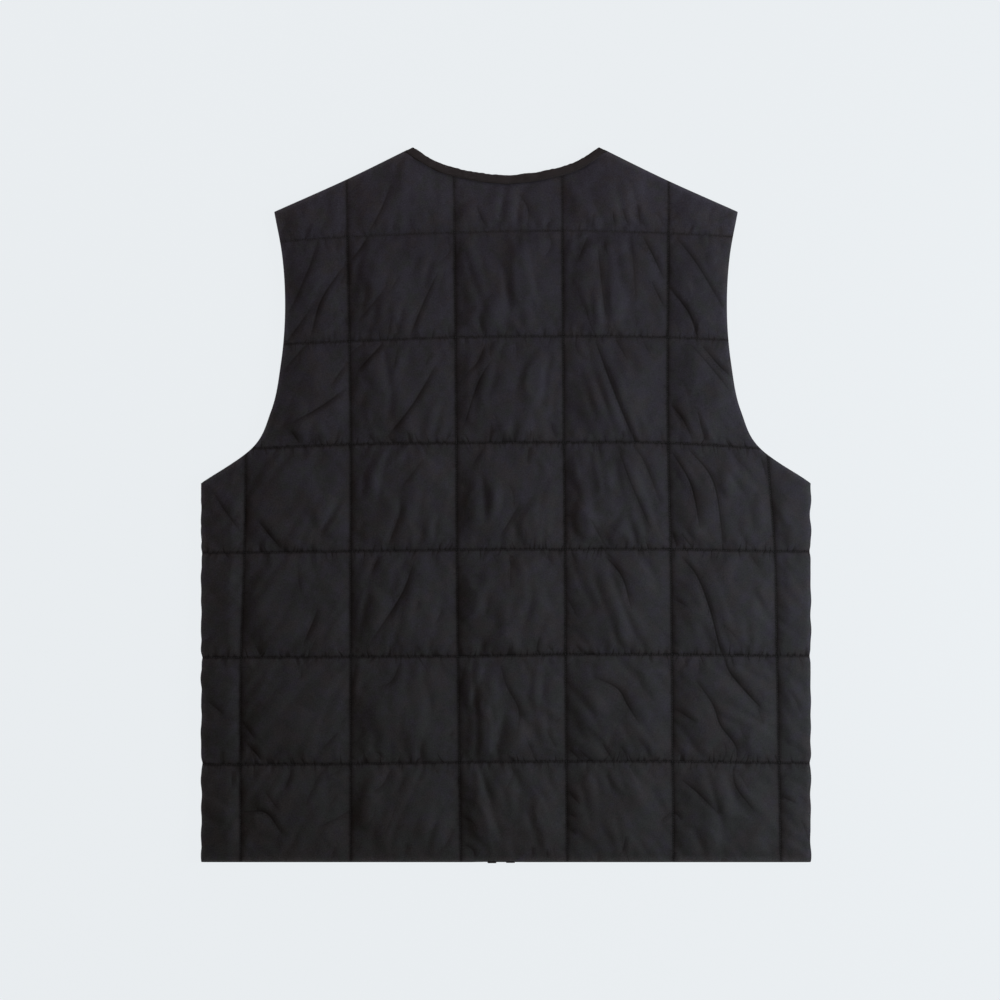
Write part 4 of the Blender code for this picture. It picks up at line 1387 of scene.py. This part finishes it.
def along_path(path, pitch):
    """Places every pitch mm along a path of points, and the direction there."""
    path = np.array(path, float)
    run = np.concatenate([[0], np.cumsum(np.linalg.norm(np.diff(path, axis=0), axis=1))])
    at = np.arange(pitch / 2, run[-1], pitch)
    places = np.column_stack([np.interp(at, run, path[:, k]) for k in range(3)])
    ahead = np.column_stack([np.interp(at + AIM, run, path[:, k]) for k in range(3)])
    behind = np.column_stack([np.interp(at - AIM, run, path[:, k]) for k in range(3)])
    way = ahead - behind
    return places, way / np.linalg.norm(way, axis=1)[:, None]


def stitch_rows(name, paths, seed, lift):
    """One joined mesh of the stitches on all paths. lift moves them off the cloth, up or down."""
    rng = np.random.default_rng(seed)
    points, faces = one_stitch()
    runs = [along_path(path, STITCH_PITCH) for path in paths]
    places = np.concatenate([run[0] for run in runs])
    ways = np.concatenate([run[1] for run in runs])
    turn = np.arctan2(ways[:, 1], ways[:, 0]) + rng.normal(0, 0.06, len(ways))
    rise = ways[:, 2] / np.hypot(ways[:, 0], ways[:, 1])
    size = rng.uniform(0.88, 1.06, len(ways))
    x = points[:, 0] * size[:, None]
    y = points[:, 1] + rng.normal(0, 0.05, (len(ways), 1))
    z = points[:, 2] + x * rise[:, None] + lift
    along, aside = np.cos(turn)[:, None], np.sin(turn)[:, None]
    moved = np.stack([x * along - y * aside, x * aside + y * along, z], axis=2)
    moved += places[:, None, :]
    every = faces[None] + (np.arange(len(ways)) * len(points))[:, None, None]
    mesh = bpy.data.meshes.new(name)
    mesh.from_pydata((moved.reshape(-1, 3) * MM).tolist(), [], every.reshape(-1, 3).tolist())
    mesh.materials.append(THREAD)
    mesh.shade_smooth()
    obj = bpy.data.objects.new(name, mesh)
    bpy.context.scene.collection.objects.link(obj)
    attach(obj, "root")
    print(name, len(ways), "stitches,", len(mesh.polygons), "triangles")
    return obj


def seam_paths(cut, seams):
    """The lines of stitches of a panel, from the heights of its grid."""
    across, up = range(cut.column_starts[-1] + 1), range(cut.row_starts[-1] + 1)
    paths = []
    for start in cut.column_starts[1:-1]:
        paths.append([seams[start, j] for j in up if (start, j) in seams])
    for start in cut.row_starts[1:-1]:
        paths.append([seams[i, start] for i in across if (i, start) in seams])
    return paths


def within(path, low_y, high_y):
    return [p for p in path if low_y <= p[1] <= high_y]


corner_y = max(n.corner[1] for n in BACK.notches)
paths = seam_paths(BACK, back_seams)
for number in (0, 5):
    paths[number] = within(paths[number], HEM_Y, corner_y)
back_stitches = stitch_rows("back_stitches", paths, 5, 0.12)

# %% [markdown]
# ## The fronts
# The fronts lie under the back with their outer side down. They are cut like the back, but with a
# deeper neck and armhole, and they end in a flat lap that the bindings and press studs hold. Their
# squares press flat where they rest on the floor. Their creases are those of the back the other
# way round, because both come from the same sewing, and a few longer ones.

# %% Cuts of the fronts
FRONT_HEM_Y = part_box("front_left")[0][1] / MM
FRONT_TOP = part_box("front_left")[1][2] / MM
LAP_LEFT_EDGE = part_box("edge_binding_left")[1][0] / MM
LAP_RIGHT_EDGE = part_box("edge_binding_right")[0][0] / MM
LAP_CLEAR = 5.0  # a front is flat from this far before the other front's edge
LAP_RAMP = 11.0
LAP_CLOTH = 1.3  # thickness of the lap, which has no padding
FLAT_FROM = 1.25
FRONT_NECK_REACH = 80.0  # beyond it the front's upper edge climbs steeply to the shoulder


def front_top(x):
    """Upper edge of a front on the +X side: its neckline, then the shoulder."""
    reach = FRONT_NECK_REACH
    inside = moved_down(front_neck_y, np.clip(x, -reach, reach), TUCKED)
    steep = inside + np.clip(x - reach, 0, None) * 4.0
    return np.minimum(shoulder_y(x), steep)


class Front:
    """One front. side is -1 for the wearer's left one, which lies at -X and is outermost. All x
    values are measured as if it lay on the +X side."""

    def __init__(self, name, side, edge_x, other_edge_x, lap_top, tape_top, lines):
        self.name, self.side, self.lap_top, self.tape_top = name, side, lap_top, tape_top
        self.edge_x = edge_x
        self.flat_from = other_edge_x + LAP_CLEAR
        self.inner_x = edge_x + TUCKED
        self.lines = lines

    def into_lap(self, x):
        """0 on the padded front, 1 on its flat lap."""
        return np.clip((self.flat_from + LAP_RAMP - x) / LAP_RAMP, 0, 1)

    def top(self, x, lap_top):
        return FRONT_TOP - (FRONT_TOP - lap_top) * self.into_lap(x)

    def cut(self):
        lines = [lambda y, n=n: self.side * upright_x(n, y) for n in self.lines]
        level_lines = [lambda x, n=n: level_y(n, self.side * x) for n in range(len(LEVEL_Y))]
        outer_y = crossing(lines[2], lambda at: armhole_x(at, FRONT_ARMHOLE_IN), *CORNER_Y)
        outer = (float(lines[2](np.array([outer_y]))[0]), outer_y)
        at = np.linspace(20.0, 80.0, 600)
        inner_x = float(np.interp(0.0, np.sort(at - lines[0](front_top(at))), at))
        inner = (inner_x, float(front_top(np.array([inner_x]))[0]))
        neck_at = np.linspace(inner_x, 96.0, 2000)
        neck_at = neck_at[: int(front_top(neck_at).argmax()) + 1]
        neck_rise = front_top(neck_at)

        def second(y):
            return np.where(y < inner[1], lines[0](y), np.interp(y, neck_rise, neck_at))

        columns = [
            lambda y: np.full(np.shape(y), self.inner_x),
            second,
            lines[1],
            lambda y: np.where(y < outer[1], lines[2](y), armhole_x(y, FRONT_ARMHOLE_IN)),
            lambda y: np.full(np.shape(y), HALF_CHEST),
        ]
        rows = [lambda x: np.full(np.shape(x), FRONT_HEM_Y), *level_lines, shoulder_y]
        notches = [
            Notch(0, 5, inner, front_top),
            Notch(3, 3, outer, lambda x: armhole_y(x, FRONT_ARMHOLE_IN)),
        ]
        across = (32 if self.side > 0 else 24, CELLS, CELLS, 16)
        return Cut(columns, rows, across, (44, *[CELLS] * 5, 36), notches)


LEFT_FRONT = Front("left", -1, -LAP_LEFT_EDGE, -LAP_RIGHT_EDGE, 2.7, 2.7, (2, 1, 0))
RIGHT_FRONT = Front("right", 1, LAP_RIGHT_EDGE, LAP_LEFT_EDGE, 4.3, FRONT_TOP, (3, 4, 5))

# %% Front panels
FRONT_RISE = 4.5
CALM_LAP = 12.0  # creases fade out this close to the flat lap
FRONT_CREASES = (
    (1.4, 8, ((-66, 132), (-90, 96), (-112, 66))),
    (1.5, 8, ((-170, 48), (-190, 6), (-204, -34))),
    (1.5, 7, ((-96, -52), (-113, -88), (-124, -126))),
    (1.7, 8, ((-168, -160), (-194, -198), (-214, -232))),
    (1.2, 7, ((-72, -256), (-88, -286), (-100, -320))),
    (1.5, 7, ((70, 140), (92, 102), (108, 68))),
    (1.4, 8, ((172, 40), (194, 2), (210, -34))),
    (1.7, 8, ((90, -56), (115, -96), (134, -132))),
    (1.3, 7, ((176, -158), (194, -196), (206, -234))),
)


def turned_over(creases):
    """The finer creases of the back, seen from its other side."""
    return [(d, half, tuple((-x, y) for x, y in places)) for d, half, places in creases if d < 1.2]


def front_heights(front, x, y, from_edge, from_free):
    """Height of the outer side, which faces the floor."""
    here = front.side * x
    uprights_x = [upright_x(n, y) for n in range(6)]
    levels_y = [level_y(n, here) for n in range(6)]
    from_lap = np.clip(x - front.flat_from, 0, None)
    inside = np.clip(from_edge, 0, None)
    full = quilt_puff(here, y, uprights_x, levels_y) * puff(inside, AT_EDGE) * puff(from_lap, AT_EDGE)
    full = full * (1 + UNEVEN * lumps(here, y, 8, LUMP))
    thin = STITCHED - (STITCHED - LAP_CLOTH) * front.into_lap(x)
    under = front.top(x, front.lap_top) - thin
    base = under * np.clip(1 - FLAT_FROM * full, 0, 1)
    creases = [*FRONT_CREASES, *turned_over(CREASES), *strewn_creases(70 + front.side, 200)]
    creased, distance, sharpness = crease_relief(creases, here, y)
    creased = creased + GATHER * seam_gathers(here, y, 21 + front.side, uprights_x, levels_y)
    soft = ripples(here, y, 22 + front.side, uprights_x, levels_y) - 0.5
    creased = creased + RIPPLE * soft * np.clip(full, 0, 1)
    off_lap = np.clip(from_lap / CALM_LAP, 0, 1)
    creased = creased * np.clip(inside / CALM_EDGE, 0, 1) * off_lap
    relief = relief_limits(creased, FRONT_RISE * np.clip(full, 0, 1))
    sharpness = sharpness * off_lap
    height = np.clip(base - relief, 0, under + 0.05)
    height = height + under_tape(from_edge) * (1 - front.into_lap(x))
    return height, fold_marks(distance, sharpness, from_edge, from_free)


def bound_edge(place):
    return place.y > 230 and place.x < 93


def turn_to_side(bm, side):
    for vert in bm.verts:
        vert.co.x *= side


def front_panel(front):
    cut = front.cut()
    bm, i, j, x, y = cut.grid()
    z, marks = front_heights(front, x, y, *edge_distance(bm, bound_edge))
    set_heights(bm, z)
    set_marks(bm, marks)
    numbers = zip(i.tolist(), j.tolist())
    seams = dict(zip(numbers, zip(front.side * x, y, z)))
    inside_bm, _, _, x, y = cut.grid(4)
    area = plan_area(inside_bm)
    set_heights(inside_bm, front.top(x, front.lap_top))
    closed_panel(bm, inside_bm)
    turn_to_side(bm, front.side)
    panel = finish_piece("front_panel_" + front.name, bm, NYLON, quilt_uv)
    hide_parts("front_" + front.name)
    paths = seam_paths(cut, seams)
    corner_y = cut.notches[1].corner[1]
    paths[0] = within(paths[0], FRONT_HEM_Y, cut.notches[0].corner[1] - 5)
    paths[2] = within(paths[2], FRONT_HEM_Y, corner_y)
    stitches = stitch_rows("front_stitches_" + front.name, paths, 7 + front.side, -0.12)
    return panel, stitches, area


front_pieces = {front.name: front_panel(front) for front in (LEFT_FRONT, RIGHT_FRONT)}

# %% [markdown]
# ## Bindings
# A narrow tape is folded round the neck and both front edges, and one row of stitches near its
# inner edge goes through all layers. A strip of grid is wrapped round a flattened oval, its long
# edges are merged and its ends filled. The neckline's tape is straight cloth on a curve, so its
# edge puckers a little from stitch to stitch.

# %% Binding maker
TAPE_STEP = 1.2
TAPE_AROUND = 20
TAPE_EXTRA = 0.15  # it swells this much past its pressed thickness
FRONT_TAPE_THICK = 2.4
BACK_TAPE_THICK = 3.0
TAPE_BEYOND_HEM = 1.3
SHOULDER_WAY = np.array((SHOULDER_X[1] - SHOULDER_X[0], SHOULDER_Y[1] - SHOULDER_Y[0]))
SHOULDER_WAY = SHOULDER_WAY / np.hypot(*SHOULDER_WAY)


def evenly(points, step):
    """The same line through points about step apart."""
    points = np.array(points, float)
    run = np.concatenate([[0], np.cumsum(np.hypot(*np.diff(points, axis=0).T))])
    at = np.linspace(0, run[-1], round(run[-1] / step) + 1)
    return np.column_stack([np.interp(at, run, points[:, k]) for k in (0, 1)])


def inner_line(outer, start_way, end_way, turn_over=14.0):
    """A line one tape's width to the left of outer, whose ends follow the given directions."""
    way = np.gradient(outer, axis=0)
    way /= np.hypot(*way.T)[:, None]
    normal = np.column_stack([-way[:, 1], way[:, 0]])
    run = np.concatenate([[0], np.cumsum(np.hypot(*np.diff(outer, axis=0).T))])
    aim = normal.copy()
    for given, away in ((start_way, run), (end_way, run[-1] - run)):
        share = np.clip(1 - away / turn_over, 0, 1)[:, None] ** 2
        aim = aim * (1 - share) + np.array(given) * share
    aim /= np.hypot(*aim.T)[:, None]
    return outer + aim * (TAPE_WIDTH / (aim * normal).sum(axis=1))[:, None]


def rounded(value, power=0.62):
    return np.sign(value) * np.abs(value) ** power


def binding(name, outer, inner, low, high, outside):
    """outside is 1 where the tape's face looks up, -1 where it looks down at the floor."""
    steps = len(outer) - 1
    run = np.concatenate([[0], np.cumsum(np.hypot(*np.diff(outer, axis=0).T))])
    bm = bmesh.new()
    bmesh.ops.create_grid(bm, x_segments=steps, y_segments=TAPE_AROUND, size=0.5)
    i = np.array([round((v.co.x + 0.5) * steps) for v in bm.verts])
    j = np.array([round((v.co.y + 0.5) * TAPE_AROUND) for v in bm.verts])
    layer = bm.loops.layers.uv.new("tape")
    around = 2 * (TAPE_WIDTH + 2.5) / TAPE_AROUND
    bm.verts.index_update()
    for face in bm.faces:
        for loop in face.loops:
            loop[layer].uv = (run[i[loop.vert.index]], around * j[loop.vert.index])
    turn = 2 * math.pi * (j % TAPE_AROUND) / TAPE_AROUND
    across = 0.5 - 0.5 * rounded(np.cos(turn))
    up = 0.5 + 0.5 * rounded(np.sin(turn))
    wander = 0.22 * lumps(run, 0.0, 31, 9.0)[i] + 0.16 * lumps(run, 0.0, 33, 3.0)[i]
    plan = outer[i] + (inner - outer)[i] * (across - wander * (1 - across) / TAPE_WIDTH)[:, None]
    thick = (high - low)[i] + 2 * TAPE_EXTRA
    swell = 0.16 * lumps(run, 0.0, 35, 4.5)[i]
    z = low[i] - TAPE_EXTRA + thick * up
    z = z + swell * np.clip(outside * (up - 0.5) * 2, 0, 1) * outside
    for vert, a, b, c in zip(bm.verts, plan[:, 0], plan[:, 1], np.clip(z, 0.02, None)):
        vert.co = (a, b, c)
    bmesh.ops.remove_doubles(bm, verts=bm.verts, dist=0.001)
    bmesh.ops.holes_fill(bm, edges=[e for e in bm.edges if e.is_boundary], sides=0)
    tape = finish_piece(name + "_tape", bm, TAPE)
    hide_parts(name)
    row = outer + (inner - outer) * (1 - 1.3 / TAPE_WIDTH)
    height = high + TAPE_EXTRA - 0.12 if outside > 0 else low - TAPE_EXTRA + 0.12
    path = np.column_stack([row, height])
    return tape, stitch_rows(name + "_stitches", [path], 41, 0.0)


# %% Bindings of the neck and the front edges
x = np.linspace(NECK_X[-1], -NECK_X[-1], 400)
outer = evenly(np.column_stack([x, back_neck_y(x)]), TAPE_STEP)
inner = inner_line(outer, SHOULDER_WAY, SHOULDER_WAY * (-1, 1))
low = BACK_FLOOR - neck_sag(outer[:, 0], outer[:, 1])
back_binding = binding("neck_binding_back", outer, inner, low, low + BACK_TAPE_THICK, 1)

for front in (LEFT_FRONT, RIGHT_FRONT):
    across = (front.side, 1)
    turn = np.linspace(0, math.acos(front.edge_x / NECK_X[-1]), 400)
    arc = np.column_stack([NECK_X[-1] * np.cos(turn), NECK_Y[-1] - FRONT_NECK_DROP * np.sin(turn)])
    outer = evenly(arc, TAPE_STEP)
    inner = inner_line(outer, SHOULDER_WAY, (0, -1))
    high = front.top(outer[:, 0], front.tape_top)
    low = high - FRONT_TAPE_THICK
    neck = binding("neck_binding_" + front.name, outer * across, inner * across, low, high, -1)
    start_y = inner[-1, 1] - 0.3
    ends = ((front.edge_x, start_y), (front.edge_x, FRONT_HEM_Y - TAPE_BEYOND_HEM))
    outer = evenly(ends, TAPE_STEP)
    inner = outer + (TAPE_WIDTH, 0)
    high = front.top(outer[:, 0], front.tape_top)
    low = high - FRONT_TAPE_THICK
    edge = binding("edge_binding_" + front.name, outer * across, inner * across, low, high, -1)

# %% [markdown]
# ## Press studs
# Each stud has a cap on the outer side of the overlapping front and a socket on the front below.
# Both are turned parts: a short profile is spun round the stud's axis.

# %% Press studs
CAP_PROFILE = (
    (0, 0.16), (1.6, 0.12), (2.3, 0.02), (3.4, 0.0), (4.0, 0.18),
    (4.3, 0.55), (4.2, 0.9), (3.8, 1.1), (0, 1.1),
)
SOCKET_PROFILE = (
    (0, 4.6), (3.8, 4.6), (4.2, 4.75), (4.3, 5.0), (4.0, 5.3),
    (3.3, 5.45), (2.5, 5.4), (1.9, 4.95), (0, 4.9),
)


def press_stud(node, profile):
    low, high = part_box(node)
    centre = [(a + b) / 2 / MM for a, b in zip(low, high)]
    bm = bmesh.new()
    line = [bm.verts.new((radius, 0, z)) for radius, z in profile]
    edges = [bm.edges.new(pair) for pair in zip(line, line[1:])]
    bmesh.ops.spin(bm, geom=line + edges, axis=(0, 0, 1), angle=2 * math.pi, steps=28, use_merge=True)
    bmesh.ops.remove_doubles(bm, verts=bm.verts, dist=0.001)
    bmesh.ops.translate(bm, verts=bm.verts, vec=(centre[0], centre[1], 0))
    stud = finish_piece(node + "_turned", bm, METAL, angle=35.0)
    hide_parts(node)
    return stud


for number in range(1, 6):
    press_stud(f"snap_cap_{number}", CAP_PROFILE)
    press_stud(f"snap_back_{number}", SOCKET_PROFILE)

# %% [markdown]
# ## The fronts' boxes
# Quilting takes up a few percent of a panel's cloth. The box of each front is read from the
# CAD model.

for front in (LEFT_FRONT, RIGHT_FRONT):
    low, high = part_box("front_" + front.name)
